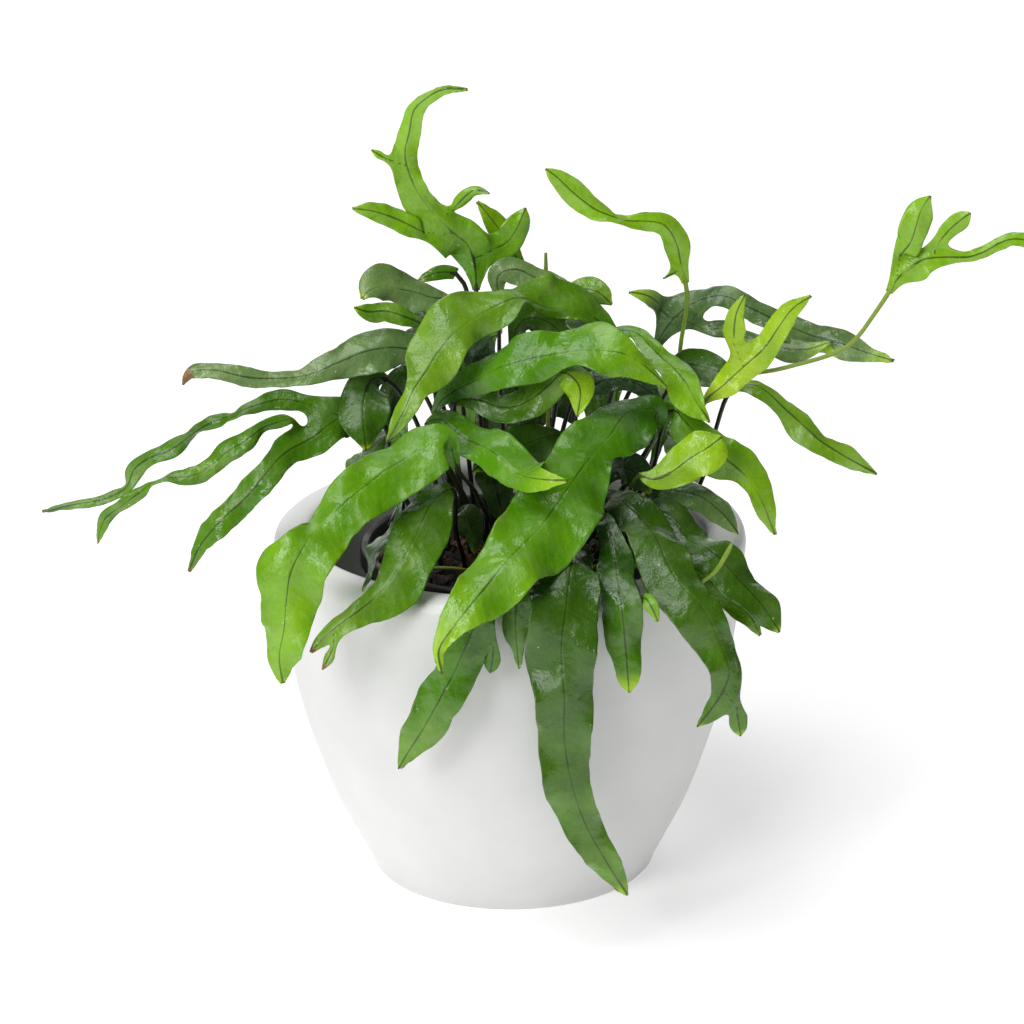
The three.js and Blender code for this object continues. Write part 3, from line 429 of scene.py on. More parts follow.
def leafMaterial(name, finish, isUnder):
    detail = leafDetail
    roughness = detail["underRoughness" if isUnder else "roughness"]
    material, tree, shader = newMaterial(name, {"IOR": 1.48})
    place = addNode(tree, "Attribute", {"attribute_name": "leafPlace"}, {})
    ageAndLight = addNode(tree, "Attribute", {"attribute_name": "leafAgeAndLight"}, {})
    placeParts = addNode(tree, "SeparateXYZ", {}, {0: (place, "Vector")})
    ageAndLightParts = addNode(tree, "SeparateXYZ", {}, {0: (ageAndLight, "Vector")})
    rib, along, edge = [(placeParts, axis) for axis in "XYZ"]
    young, dried, tone = [(ageAndLightParts, axis) for axis in "XYZ"]
    where = (addNode(tree, "TexCoord", {}, {}), "Object")

    noises = {}
    for key, octaves in (("patch", 3), ("bloomAndSheen", 3), ("rumple", 2), ("stipple", 2), ("scorch", 4)):
        inputs = {"Vector": where, "Scale": perMetre(detail[key]), "Detail": octaves}
        noises[key] = addNode(tree, "TexNoise", {}, inputs)
    # the tone is partly painted light and shade, set per frond
    tilt = {0: noises["patch"], 1: detail["patchTone"], 2: tone}
    shade = addNode(tree, "Math", {"operation": "MULTIPLY_ADD"}, tilt)
    sway = {0: noises["patch"], 1: detail["ribSway"], 2: rib}
    line = addNode(tree, "Math", {"operation": "MULTIPLY_ADD"}, sway)

    # side veins run forward from the midrib to the margin
    slant = addNode(tree, "Math", {"operation": "MULTIPLY_ADD"}, {0: rib, 1: -detail["veinSlope"], 2: along})
    wander = {0: noises["patch"], 1: detail["veinWander"], 2: slant}
    wobble = addNode(tree, "Math", {"operation": "MULTIPLY_ADD"}, wander)
    perMillimetre = 2 * math.pi / detail["veinPitch"]
    turn = addNode(tree, "Math", {"operation": "MULTIPLY"}, {0: wobble, 1: perMillimetre})
    vein = addNode(tree, "Math", {"operation": "SINE"}, {0: turn})

    # wax, dust and painted sheen lie in clouds, with a fine stipple in them
    waxAndSheen = {0: noises["stipple"], 1: 0.3, 2: noises["bloomAndSheen"]}
    cloud = addNode(tree, "Math", {"operation": "MULTIPLY_ADD"}, waxAndSheen)
    burn = addNode(tree, "Math", {"operation": "MULTIPLY_ADD"}, {0: dried, 1: 1.6, 2: noises["scorch"]})
    cells = {"Vector": where, "Scale": perMetre(detail["speckCell"])}
    specks = addNode(tree, "TexVoronoi", {}, cells)
    lot = addNode(tree, "SeparateColor", {}, {0: (specks, "Color")})
    dusty = {0: noises["bloomAndSheen"], 1: 0.9, 2: (lot, "Red")}
    inDust = addNode(tree, "Math", {"operation": "MULTIPLY_ADD"}, dusty)
    isDusty = addNode(tree, "Math", {"operation": "GREATER_THAN"}, {0: inDust, 1: detail["speckLimit"]})
    largest = detail["speckSize"] / detail["speckCell"]
    size = addNode(tree, "Math", {"operation": "MULTIPLY"}, {0: (lot, "Green"), 1: largest})
    isNear = addNode(tree, "Math", {"operation": "LESS_THAN"}, {0: (specks, "Distance"), 1: size})
    speck = addNode(tree, "Math", {"operation": "MULTIPLY"}, {0: isDusty, 1: isNear})

    layers = [
        (shade, 0.2, 0.75, 1, finish["body"]),
        (shade, 0.7, 1.3, 1, finish["fresh"]),
        (vein, 0.7, 1, 0.07, finish["deep"]),
        (young, 0, 1, 0.85, detail["youngColour"]),
        (rib, detail["halo"], detail["halo"] / 3, 0.06, finish["fresh"]),
        # painted sheen: the pale clouds of wax and dust also stand in for satin highlights
        (cloud, 0.6, 0.98, finish["bloomAndSheen"], detail["bloomAndSheenColour"]),
        (line, detail["rib"], detail["rib"] - 0.3, 0.78, detail["ribColour"]),
        (edge, detail["margin"], 0, 0.5, detail["marginColour"]),
        (burn, 1.25, 1.5, 1, detail["driedColour"]),
        (speck, 0, 1, 0.7, detail["speckColour"]),
    ]
    if isUnder:
        layers = [(shade, 0.2, 1.3, 0.35, finish["body"]), *layers[3:5], *layers[6:9]]
    colour = paintLayers(tree, finish["under" if isUnder else "deep"], layers)

    height = detail["height"]
    across = {"Value": rib, "From Max": detail["grooveWidth"], "To Min": height["groove"], "To Max": 0}
    relief = addNode(tree, "MapRange", {}, across)
    for part, key in ((noises["rumple"], "rumple"), (vein, "vein"), (noises["stipple"], "stipple")):
        relief = addNode(tree, "Math", {"operation": "MULTIPLY_ADD"}, {0: part, 1: height[key], 2: relief})
    bump = addNode(tree, "Bump", {}, {"Height": relief, "Strength": 0.9, "Distance": mm})
    dulling = {"From Min": 0.5, "From Max": 0.85, "To Min": roughness - 0.04, "To Max": roughness + 0.14}
    gloss = addNode(tree, "MapRange", {}, {"Value": cloud, **dulling})
    connect(tree, shader, {"Base Color": colour, "Normal": (bump, 0), "Roughness": (gloss, 0)})
    return material


stalkDetail = {
    "grain": 4,  # mm
    "olderBelow": 135,
    "youngerAbove": 235,
    "old": "#15120b",
    "ripe": "#2f4212",
    "young": "#84a02c",
}


def stalkMaterial():
    # wiry stalk: smooth and almost black where it is old, olive where it is young
    detail = stalkDetail
    material, tree, shader = newMaterial("fernStalk", {"Roughness": 0.45})
    ageAndLight = addNode(tree, "Attribute", {"attribute_name": "leafAgeAndLight"}, {})
    ageAndLightParts = addNode(tree, "SeparateXYZ", {}, {0: (ageAndLight, "Vector")})
    where = (addNode(tree, "TexCoord", {}, {}), "Object")
    grain = addNode(tree, "TexNoise", {}, {"Vector": where, "Scale": perMetre(detail["grain"]), "Detail": 3})
    height = addNode(tree, "SeparateXYZ", {}, {0: where})
    span = {"From Min": detail["olderBelow"] * mm, "From Max": detail["youngerAbove"] * mm, "To Max": 0.35}
    rise = addNode(tree, "MapRange", {}, {"Value": (height, "Z"), **span})
    old = addNode(tree, "Math", {"operation": "MULTIPLY_ADD"}, {0: grain, 1: 0.3, 2: rise})
    shade = addNode(tree, "Math", {"operation": "ADD"}, {0: old, 1: (ageAndLightParts, "Z")})
    layers = [(shade, 0.3, 0.8, 1, detail["ripe"]), (shade, 0.75, 1.25, 1, detail["young"])]
    colour = paintLayers(tree, detail["old"], layers)
    bump = addNode(tree, "Bump", {}, {"Height": grain, "Strength": 0.3, "Distance": 0.4 * mm})
    connect(tree, shader, {"Base Color": colour, "Normal": (bump, 0)})
    return material


# green: the leaf's slot, and its colour where there is no finish. finish: the greens used instead,
# lighter on some upper fronds as painted light from above. tones: colour at the blade's foot and
# tip, from old and deep at 0 to young and yellow at 1, and partly painted light: lower where a
# frond sits in shade and higher where it is lit or sheened. root: where the stalk stands in the soil.
# face: the way the upper side looks. path: (x, y, z, width) in millimetres from the stalk to the
# tip, or (x, y, z, left, right) where the midrib is off the middle. turns: row of the path ->
# degrees of roll there. lobes: paths of the fingers of a forked blade, and lobeTurns their turns.
# freshTip and brownTip: lengths of the young or dried tip. stalkTone: how young the stalk is.
fronds = {
    "frond_crown_forked": {
        "green": "mid", "tones": (0.5, 1.1), "finish": "bright",
        "root": (-7, 15), "face": (0, -0.95, 0.3),
        "path": [(-10, 14, 190, 2.6), (-12, 10, 240, 3), (-12, 10, 247, 8), (-13, 10, 253, 14),
            (-15, 9, 259, 19), (-21, 8, 265, 9.5, 7), (-29, 6, 274, 8.5, 4.5), (-36, 4, 286, 7, 4),
            (-39, 3, 298, 5, 5), (-37, 2, 307, 4, 4.5), (-35, 1, 316, 3, 4), (-30, 0, 321, 2, 3),
            (-23, -2, 325, 1, 2.2), (-14, -3, 325, 1.5)],
        "lobes": [
            [(-5, 12, 256, 13), (1, 14, 259, 12), (5, 15, 265, 10), (8, 16, 272, 4)],
            [(-32, 6, 265, 9), (-38, 4, 269, 8.5), (-46, 3, 273, 8), (-54, 1, 276, 6.5),
             (-60, 0, 277, 1.6)],
            [(-21, 5, 274, 5), (-17, 4, 279, 5), (-12, 3, 283, 4), (-6, 2, 282, 1.4)],
            [(-46, 2, 296, 5), (-49, 2, 298, 3.5), (-52, 2, 300, 1.4)],
        ],
    },
    "frond_crown_pale": {
        "green": "bright", "tones": (0.1, 0.6), "finish": "lime",
        "root": (4, 26), "face": (0, -0.95, 0.3),
        "path": [(7, 28, 200, 2.6), (6, 26, 235, 2.6), (5, 26, 246, 6), (1, 26, 255, 8),
            (-5, 26, 264, 8), (-11, 26, 272, 1.6)],
    },
    "frond_dark_top": {
        "green": "dark", "tones": (0.8, 0.9), "finish": "grey",
        "root": (0, 20), "face": (0, -0.9, 0.5),
        "path": [(-3, 16, 200, 2.6), (-3, 8, 236, 2.8), (-3, 6, 247, 9), (4, 5, 250, 11),
            (13, 4, 246, 10), (23, 3, 241, 8), (31, 2, 236, 2)],
    },
    "frond_arch_left": {
        "green": "dark", "tones": (0.45, 0.85), "finish": "mid",
        "root": (23, -4), "face": (0, -0.75, 0.65),
        "turns": {5: 20, 7: -10},
        "path": [(37, -7, 185, 2.6), (44, -8, 223, 3.2), (38, -9, 231, 2.5, 5), (29, -11, 237, 4, 11),
            (16, -14, 240, 2.5, 14), (7, -18, 244, 2, 8), (-1, -22, 244, 9, 7.5),
            (-14, -29, 239, 7, 13.5), (-26, -37, 230, 10, 13.5), (-31, -41, 223, 9, 10),
            (-36, -45, 217, 6, 3.5), (-41, -48, 207, 4, 4), (-47, -50, 197, 2)],
    },
    "frond_dark_middle": {
        "green": "dark", "tones": (0.3, 0.5),
        "root": (7, 10), "face": (0, -0.9, 0.5),
        "path": [(5, 4, 190, 2.6), (2, 0, 218, 2.8), (6, 0, 230, 10), (14, -1, 231, 12),
            (23, -3, 225, 10), (32, -5, 219, 2)],
    },
    "frond_middle_bright": {
        "green": "bright", "tones": (-0.1, 0.85),
        "root": (-12, -2), "face": (0, -0.75, 0.65),
        "path": [(-27, -10, 180, 2.6), (-29, -20, 198, 2.8), (-24, -24, 207, 5, 3),
            (-11, -30, 216, 7.5, 6), (6, -35, 224, 10.5, 9.5), (23, -37, 228, 11.5, 5.5),
            (37, -38, 229, 13, 10), (49, -38, 226, 5, 8.5), (57, -37, 219, 2.5, 4.5), (62, -35, 213, 2)],
    },
    "frond_right_narrow": {
        "green": "mid", "tones": (0.4, 0.9), "finish": "bright",
        "root": (14, 13), "face": (0.2, -0.8, 0.6),
        "path": [(25, 13, 190, 2.6), (39, 4, 222, 2.8), (50, 0, 225, 6), (57, -8, 221, 3.5, 4.5),
            (64, -18, 217, 7, 6), (71, -26, 210, 5, 8.6), (75, -31, 204, 2.6, 6.5), (79, -34, 198, 1.8)],
    },
    "frond_lime_paw": {
        "green": "lime", "tones": (0.8, 0.6),
        "root": (37, 0), "face": (0, -0.95, 0.3),
        "path": [(55, -4, 165, 2.4), (72, -8, 182, 2.4), (78, -14, 200, 2.8), (85, -16, 207, 10),
            (93, -17, 215, 13), (101, -18, 223, 11), (107, -18, 232, 9), (112, -18, 239, 7),
            (119, -18, 244, 1.6)],
        "lobes": [
            [(89, -19, 225, 9), (89, -20, 232, 9), (90, -21, 239, 6.5), (93, -22, 246, 1.8)],
        ],
    },
    "frond_right_forked": {
        "green": "dark", "tones": (0.5, 0.8), "freshTip": 14, "finish": "grey",
        "root": (30, 26), "face": (0, -0.8, 0.6),
        "path": [(49, 28, 190, 2.6), (60, 24, 210, 2.8), (62, 22, 216, 6), (67, 20, 224, 13),
            (76, 17, 232, 13), (86, 14, 235, 9.5), (97, 11, 231, 9), (109, 7, 226, 11),
            (120, 4, 222, 11), (132, 0, 219, 12), (143, -4, 216, 8), (153, -8, 214, 2)],
        "lobes": [
            [(62, 20, 230, 9), (57, 19, 234, 7), (49, 18, 236, 1.8)],
            [(79, 15, 221, 8), (87, 12, 222, 6.5), (96, 9, 219, 7), (107, 3, 217, 9), (118, -2, 217, 8),
             (129, -4, 221, 1.8)],
        ],
    },
    "frond_right_dark": {
        "green": "dark", "tones": (0.25, 0.35),
        "root": (30, 11), "face": (0, -0.8, 0.6),
        "path": [(51, 9, 175, 2.6), (65, 6, 200, 2.8), (70, 5, 210, 11), (79, 3, 209, 15),
            (88, 1, 206, 10), (93, 0, 202, 2)],
    },
    "frond_right_drooping": {
        "green": "mid", "tones": (0.7, 0.95),
        "root": (48, 7), "face": (0, -0.8, 0.6),
        "path": [(75, 9, 154, 2.4), (79, 8, 162, 2.4), (83, 6, 180, 2.4), (90, 2, 200, 3.2),
            (99, 0, 202, 2.5, 4.5), (111, -4, 193, 3, 4), (118, -6, 187, 4.5, 7),
            (124, -8, 181, 3.2, 6), (136, -10, 174, 4.5, 3.5), (147, -12, 168, 1.8)],
    },
    "frond_right_curved": {
        "green": "mid", "tones": (0.35, 1.05), "finish": "bright",
        "root": (40, -2), "face": (0.2, -0.85, 0.5),
        "path": [(57, -8, 168, 2.6), (61, -15, 189, 2.8), (65, -20, 199, 10), (73, -27, 193, 7, 9),
            (82, -31, 184, 8, 9.5), (93, -33, 175, 9.5, 3.5), (100, -33, 163, 6, 4.5),
            (105, -32, 150, 1.8)],
    },
    "frond_lime_curled": {
        "green": "lime", "tones": (0.5, 0.6),
        "root": (28, -19), "face": (0, -0.9, 0.4),
        "path": [(45, -34, 165, 2.4), (51, -42, 179, 2.4), (56, -44, 178, 8), (63, -45, 181, 13),
            (71, -45, 187, 8, 9), (78, -44, 191, 8.5, 10), (83, -43.5, 195, 4, 9)],
    },
    "frond_centre_broad": {
        "green": "bright", "tones": (0, 0.85), "freshTip": 26,
        "root": (30, -12), "face": (0.1, -0.75, 0.65),
        "path": [(49, -19, 172, 2.8), (58, -24, 191, 3.4), (58, -29, 202, 9, 6), (46, -37, 203, 15, 9),
            (40, -46, 198, 12, 12), (35, -52, 194, 7, 15), (25, -68, 187, 16, 13),
            (13, -86, 176, 17.5, 15.5), (1, -100, 168, 14.5, 11.5), (-12, -113, 156, 11, 10),
            (-21, -120, 147, 4.5, 7), (-27, -123, 139, 2.5, 2.5), (-26, -125, 130, 2)],
    },
    "frond_centre_pale": {
        "green": "bright", "tones": (0.1, 0.75), "freshTip": 18,
        "root": (-9, -9), "face": (0, -0.7, 0.7),
        "path": [(-25, -18, 178, 2.6), (-32, -29, 197, 3), (-27, -34, 200, 5.5, 5.5),
            (-18, -43, 197, 8.5, 9), (-7, -56, 194, 10.5, 6.5), (4, -73, 191, 11.5, 7),
            (9, -80, 191, 5.5, 6), (13, -84, 192, 4.5, 4), (22, -90, 194, 1.8)],
    },
    "frond_left_broad": {
        "green": "bright", "tones": (0.4, 0.85),
        "root": (-3, -19), "face": (-0.1, -0.8, 0.6),
        "path": [(-13, -40, 172, 2.6), (-20, -56, 188, 3.2), (-24, -59, 201, 10, 5),
            (-34, -61, 197, 13.5, 9.5), (-46, -68, 192, 13.5, 10.5), (-60, -77, 184, 12, 9.5),
            (-72, -89, 177, 13.5, 5.5), (-78, -97, 171, 14, 8), (-83, -102, 163, 14, 14.5),
            (-85, -104, 152, 12.5, 10.5), (-86, -105, 140, 10, 9), (-88, -105, 130, 8, 6),
            (-87, -105, 119, 4)],
    },
    "frond_left_double_tip": {
        "green": "mid", "tones": (0.3, 0.85), "brownTip": 4,
        "root": (-18, -30), "face": (-0.1, -0.8, 0.6),
        "path": [(-21, -44, 158, 2.6), (-22, -55, 179, 5), (-29, -61, 176, 9, 8),
            (-35, -70, 168, 12, 9), (-41, -81, 160, 12, 8.5), (-48, -91, 152, 12, 4.5),
            (-58, -98, 145, 6.5, 4), (-65, -102, 141, 4.5, 4), (-71, -104, 137, 2.8, 2.8),
            (-76, -106, 132, 1.6)],
        "lobes": [
            [(-67, -105, 134, 5), (-69, -106, 130, 4.5), (-72, -107, 125, 1.8)],
        ],
    },
    "frond_left_bluish": {
        "green": "dark", "tones": (0.2, 0.4), "finish": "grey",
        "root": (-28, -21), "face": (-0.8, -0.3, 0.5),
        "path": [(-41, -36, 160, 2.6), (-42, -43, 170, 3), (-46, -52, 166, 13), (-50, -61, 161, 15),
            (-54, -70, 154, 13), (-57, -78, 146, 2)],
    },
    "frond_left_brown_tip": {
        "green": "dark", "tones": (0.7, 0.8), "brownTip": 12, "finish": "grey",
        "root": (-18, 9), "face": (0, -0.85, 0.55),
        "path": [(-25, 4, 190, 2.6), (-33, -4, 216, 4), (-42, -8, 222, 15), (-53, -11, 222, 18),
            (-66, -14, 218, 13), (-79, -17, 214, 8), (-92, -18, 213, 6.5), (-104, -18, 214, 7),
            (-116, -18, 217, 7), (-125, -18, 216, 5), (-128, -18, 211, 1.6)],
    },
    "frond_left_hanging": {
        "green": "dark", "tones": (0.2, 0.5),
        "root": (-25, -2), "face": (0, -0.9, 0.4),
        "path": [(-37, -2, 190, 2.6), (-48, -2, 207, 3.2), (-54, -8, 209, 13), (-57, -18, 204, 20),
            (-57, -26, 196, 17), (-56, -31, 187, 3)],
    },
    "frond_left_three_fingers": {
        "green": "mid", "tones": (0.3, 0.6), "brownTip": 3,
        "root": (-33, -7), "face": (0, -0.85, 0.55),
        "path": [(-47, -8, 172, 2.6), (-49, -8, 189, 2.8), (-56, -8, 193, 6), (-66, -10, 194, 17),
            (-76, -17, 189, 14), (-88, -26, 185, 11), (-100, -34, 173, 11), (-113, -37, 161, 10),
            (-122, -38, 151, 7), (-127, -38, 140, 1.6)],
        "lobes": [
            [(-80, -9, 200, 8), (-90, -10, 202, 8.5), (-99, -11, 200, 6), (-108, -12, 197, 5),
             (-116, -12, 194, 6), (-125, -12, 189, 5), (-134, -11, 182, 7), (-144, -11, 178, 7),
             (-150, -10, 173, 7), (-153, -10, 166, 5), (-162, -10, 161, 4.5), (-173, -10, 159, 3.4),
             (-187, -10, 156, 1.4)],
            [(-83, -18, 197, 6), (-90, -20, 196, 5), (-97, -22, 194, 6), (-103, -24, 190, 8),
             (-110, -24, 186, 8.5), (-118, -24, 179, 8), (-126, -24, 175, 7), (-138, -24, 174, 5.5),
             (-147, -24, 168, 5), (-155, -24, 162, 5), (-161, -24, 157, 6), (-164, -24, 147, 1.4)],
        ],
        "lobeTurns": [{3: 45, 5: -60, 9: 55}, {2: -40, 7: 45, 9: -50}],
    },
    "frond_left_upper": {
        "green": "dark", "tones": (0.6, 0.9), "finish": "grey",
        "root": (-14, 16), "face": (0, -0.85, 0.55),
        "path": [(-19, 12, 200, 2.6), (-22, 8, 236, 3.2), (-30, 7, 238, 5, 5), (-37, 6, 241, 9.5, 6.5),
            (-44, 4, 243, 4.5, 9.5), (-50, 2, 244, 4.5, 10), (-54, 1, 243, 3, 7), (-57, 0, 240, 3)],
    },
    "frond_left_olive": {
        "green": "mid", "tones": (0.5, 0.7),
        "root": (-21, 18), "face": (0, -0.85, 0.55),
        "path": [(-29, 12, 195, 2.6), (-32, -2, 228, 3.2), (-40, -6, 234, 7), (-48, -7, 237, 8),
            (-55, -8, 237, 7), (-60, -8, 239, 2.4)],
    },
    "frond_left_rear": {
        "green": "dark", "tones": (0.4, 0.5), "finish": "mid",
        "root": (-7, 25), "face": (0, -0.95, 0.3),
        "path": [(-11, 24, 205, 2.6), (-17, 20, 240, 2.8), (-20, 20, 244, 5), (-27, 19, 245, 6),
            (-35, 18, 242, 2)],
    },
    "frond_top_crinkled": {
        "green": "mid", "tones": (0.8, 0.8),
        "root": (12, 21), "face": (0, -0.9, 0.4),
        "path": [(21, 18, 200, 2.6), (24, 12, 232, 2.8), (28, 12, 239, 8), (36, 10, 239, 10),
            (42, 8, 234, 3.2)],
    },
    "frond_middle_curled": {
        "green": "mid", "tones": (0.25, 0.9), "freshTip": 24,
        "root": (-2, -5), "face": (0, -0.8, 0.6),
        "path": [(-13, -12, 178, 2.6), (-21, -19, 202, 2.8), (-13, -23, 205, 8.5),
            (-2, -27, 203, 6, 6.5), (8, -29, 206, 7, 8), (16, -31, 213, 12), (22, -34, 219, 12),
            (28, -38, 214, 12), (27, -41, 203, 2.4)],
    },
    "frond_middle_grey": {
        "green": "dark", "tones": (0, 0.1), "finish": "grey",
        "root": (18, -9), "face": (0, -0.9, 0.4),
        "path": [(25, -13, 178, 2.6), (27, -14, 200, 2.8), (33, -16, 208, 9), (44, -18, 211, 9),
            (54, -20, 208, 8), (61, -20, 201, 1.8)],
    },
    "frond_front_right_long": {
        "green": "dark", "tones": (0, 0.75),
        "root": (21, -25), "face": (0.2, -0.8, 0.6),
        "path": [(34, -36, 158, 2.8), (39, -45, 171, 9), (51, -60, 168, 20), (57, -75, 162, 21),
            (63, -88, 153, 10, 11), (72, -96, 145, 7.5, 13), (78, -100, 136, 6, 10.5),
            (81, -102, 128, 7, 9), (83, -103, 120, 6, 8), (80, -103, 111, 6.5, 4),
            (76, -102, 104, 5, 2.5), (71, -101, 97, 2)],
        "lobes": [
            [(86, -101, 105, 8), (87, -100, 98, 7), (88, -99, 92, 3.5)],
        ],
    },
    "frond_front_right_broad": {
        "green": "dark", "tones": (0.15, 0.5),
        "root": (35, -19), "face": (0.4, -0.8, 0.5),
        "path": [(49, -34, 156, 2.8), (54, -41, 163, 12), (62, -47, 163, 17), (71, -58, 158, 19),
            (81, -68, 153, 19), (91, -75, 145, 17), (99, -78, 135, 13), (104, -79, 127, 2.4)],
    },
    "frond_front_right_grey": {
        "green": "dark", "tones": (0.4, 0.8), "finish": "grey",
        "root": (40, -11), "face": (0.3, -0.7, 0.7),
        "path": [(55, -16, 158, 2.6), (56, -24, 167, 8), (64, -28, 168, 12), (75, -33, 167, 13),
            (83, -37, 162, 11), (90, -41, 154, 1.8)],
    },
    "frond_front_right_olive": {
        "green": "mid", "tones": (0.5, 0.7),
        "root": (42, -28), "face": (0.4, -0.8, 0.5),
        "path": [(59, -44, 151, 2.6), (66, -56, 153, 5), (73, -62, 151, 11), (81, -67, 143, 11),
            (91, -69, 132, 10), (97, -69, 122, 3)],
    },
    "sprout_front_right": {
        "green": "lime", "tones": (0.3, 0.4), "stalkTone": 0.9,
        "root": (33, -35), "face": (0.2, -0.8, 0.5),
        "path": [(51, -56, 152, 2), (61, -69, 150, 2), (71, -78, 147, 2), (78, -83, 153, 2),
            (82, -85, 160, 3.4), (85, -85, 166, 1.6)],
    },
    "frond_front_longest": {
        "green": "dark", "tones": (0, 0.85), "freshTip": 8,
        "root": (9, -30), "face": (0, -0.95, 0.2),
        "path": [(17, -52, 158, 2.8), (24, -74, 160, 12), (23, -92, 158, 22), (21, -108, 149, 12.5, 13),
            (19, -112, 134, 14, 13.5), (20, -113, 116, 11, 11.5), (20, -111, 96, 11, 10),
            (23, -107, 76, 7, 11), (29, -102, 55, 6, 9), (37, -98, 38, 5, 6.5), (44.5, -94, 23, 4)],
    },
    "frond_front_hidden": {
        "green": "mid", "tones": (0.1, 0.4),
        "root": (-2, -37), "face": (-0.3, -0.9, 0.2),
        "path": [(2, -60, 156, 2.6), (4, -80, 157, 6), (3, -97, 154, 9), (2, -101, 140, 10),
            (3, -101, 122, 2)],
    },
    "frond_front_short": {
        "green": "mid", "tones": (-0.7, 0.6), "freshTip": 9,
        "root": (19, -33), "face": (0, -0.9, 0.4),
        "path": [(33, -50, 158, 2.6), (37, -64, 169, 6), (40, -81, 160, 13), (41.5, -95, 151, 13.5),
            (43, -100, 139, 15), (44, -102, 127, 13.5), (44.5, -102, 119, 9), (45, -102, 112, 4)],
    },
    "frond_front_forked": {
        "green": "mid", "tones": (-0.2, 0.75), "freshTip": 0,
        "root": (-9, -35), "face": (-0.1, -0.95, 0.2),
        "path": [(-8, -62, 157, 2.6), (-8, -84, 155, 6), (-11, -104, 150, 14), (-16, -108, 137, 17),
            (-23, -108, 121, 17), (-33, -105, 101, 16), (-40, -101, 88, 9), (-44, -98, 80, 2)],
        "lobes": [
            [(-6.5, -106, 133, 7), (-7, -106, 128, 6.5), (-8, -105, 122, 4)],
        ],
    },
    "sprout_front": {
        "green": "bright", "tones": (0.6, 0.8),
        "root": (29, -38), "face": (0, -0.9, 0.4),
        "path": [(42, -60, 150, 2), (48, -75, 147, 2), (50, -90, 146, 2.4), (52, -100, 149, 5.4),
            (54, -102, 146, 5.2), (56, -102, 141, 1.8)],
    },
    "frond_inner_left": {
        "green": "dark", "tones": (0.1, 0.1),
        "root": (-16, -11), "face": (0, -0.8, 0.6),
        "path": [(-18, -20, 152, 2.6), (-18, -24, 160, 7), (-16, -27, 156, 12), (-14, -29, 150, 9),
            (-14, -30, 143, 2)],
    },
    "frond_inner_green": {
        "green": "dark", "tones": (0.2, 0.3),
        "root": (2, -16), "face": (0, -0.8, 0.5),
        "path": [(1, -20, 150, 2.6), (-3, -21, 158, 9), (-5, -22, 168, 14), (-7, -23, 177, 9),
            (-8, -23, 184, 2)],
    },
    "frond_inner_blue": {
        "green": "dark", "tones": (0, 0.1), "finish": "grey",
        "root": (-9, 4), "face": (0, -0.8, 0.5),
        "path": [(-11, -2, 190, 2.6), (-12, -8, 210, 3.2), (-13, -10, 218, 10), (-9, -13, 225, 10),
            (-4, -15, 229, 1.8)],
    },
    "frond_tall_zigzag": {
        "green": "bright", "tones": (0.9, 0.95), "stalkTone": 0.7,
        "root": (39, 16), "face": (0, -0.95, 0.3),
        "turns": {9: 50},
        "path": [(57, 16, 170, 2.4), (67, 17, 192, 2.4), (70, 15, 217, 2.4), (72, 8, 234, 2.4),
            (71, 3, 244, 3), (69, 0, 253, 7), (67, -2, 262, 10), (62, -4, 270, 9), (55, -6, 272, 7),
            (45, -8, 273, 5.5), (36, -8, 277, 8), (27, -8, 284, 9.5), (20, -8, 291, 7),
            (16, -8, 294, 1.6)],
        "lobes": [
            [(66, 0, 249, 4), (62, -1, 247, 1.4)],
        ],
    },
    "frond_far_right_paw": {
        "green": "bright", "tones": (0.95, 1), "stalkTone": 0.7,
        "root": (44, -5), "face": (0, -0.95, 0.3),
        "path": [(62, 0, 166, 2.4), (73, -1, 187, 2.4), (88, -9, 207, 2.4), (110, -12, 213, 2.4),
            (134, -14, 222, 2.4), (145, -14, 236, 2.4), (150, -14, 244, 3), (153, -14, 249, 6),
            (157, -14, 253, 12), (163, -14, 257, 12), (169, -14, 258, 9), (175, -14, 258, 5),
            (181, -14, 258, 4), (187, -14, 260, 4.5), (192, -14, 263, 5.5), (198, -14, 265, 5.5),
            (205, -14, 264, 5), (210, -14, 262, 1.6)],
        "lobes": [
            [(154, -14, 259, 11), (158, -14, 264, 11), (160, -15, 271, 11), (162, -15, 278, 9),
             (165, -16, 283, 3)],
            [(169, -14, 264, 7), (173, -14, 269, 7), (177, -15, 273, 7), (181, -15, 276, 4)],
        ],
    },
    "frond_inner_deep": {
        "green": "dark", "tones": (0.1, 0.2),
        "root": (11, -18), "face": (-0.1, -0.8, 0.6),
        "path": [(17, -24, 170, 2.6), (21, -27, 190, 4), (13, -33, 192, 14), (3, -38, 189, 16),
            (-8, -42, 186, 11), (-14, -45, 183, 2)],
    },
    "frond_inner_back": {
        "green": "dark", "tones": (0, 0.1),
        "root": (22, 31), "face": (0, -0.9, 0.4),
        "path": [(26, 33, 160, 2.6), (27, 35, 176, 3.5), (20, 36, 184, 14), (8, 37, 184, 22),
            (-5, 37, 178, 20), (-14, 36, 168, 3)],
    },
    "frond_inner_right": {
        "green": "dark", "tones": (-0.2, 0.2), "finish": "grey",
        "root": (26, -24), "face": (0, -0.9, 0.4),
        "path": [(36, -27, 164, 2.6), (38, -27, 172, 5), (43, -28, 178, 13), (50, -30, 176, 13),
            (56, -33, 168, 3)],
    },
    "frond_back_left": {
        "green": "dark", "tones": (0.2, 0.5),
        "root": (-19, 30), "face": (0, 0.6, 0.8),
        "path": [(-23, 44, 180, 2.6), (-25, 54, 203, 6), (-27, 70, 212, 17), (-31, 90, 203, 20),
            (-39, 108, 180, 18), (-49, 120, 152, 13), (-56, 126, 128, 2.5)],
    },
    "frond_back_middle": {
        "green": "mid", "tones": (0.2, 0.6),
        "root": (-5, 35), "face": (0, 0.6, 0.8),
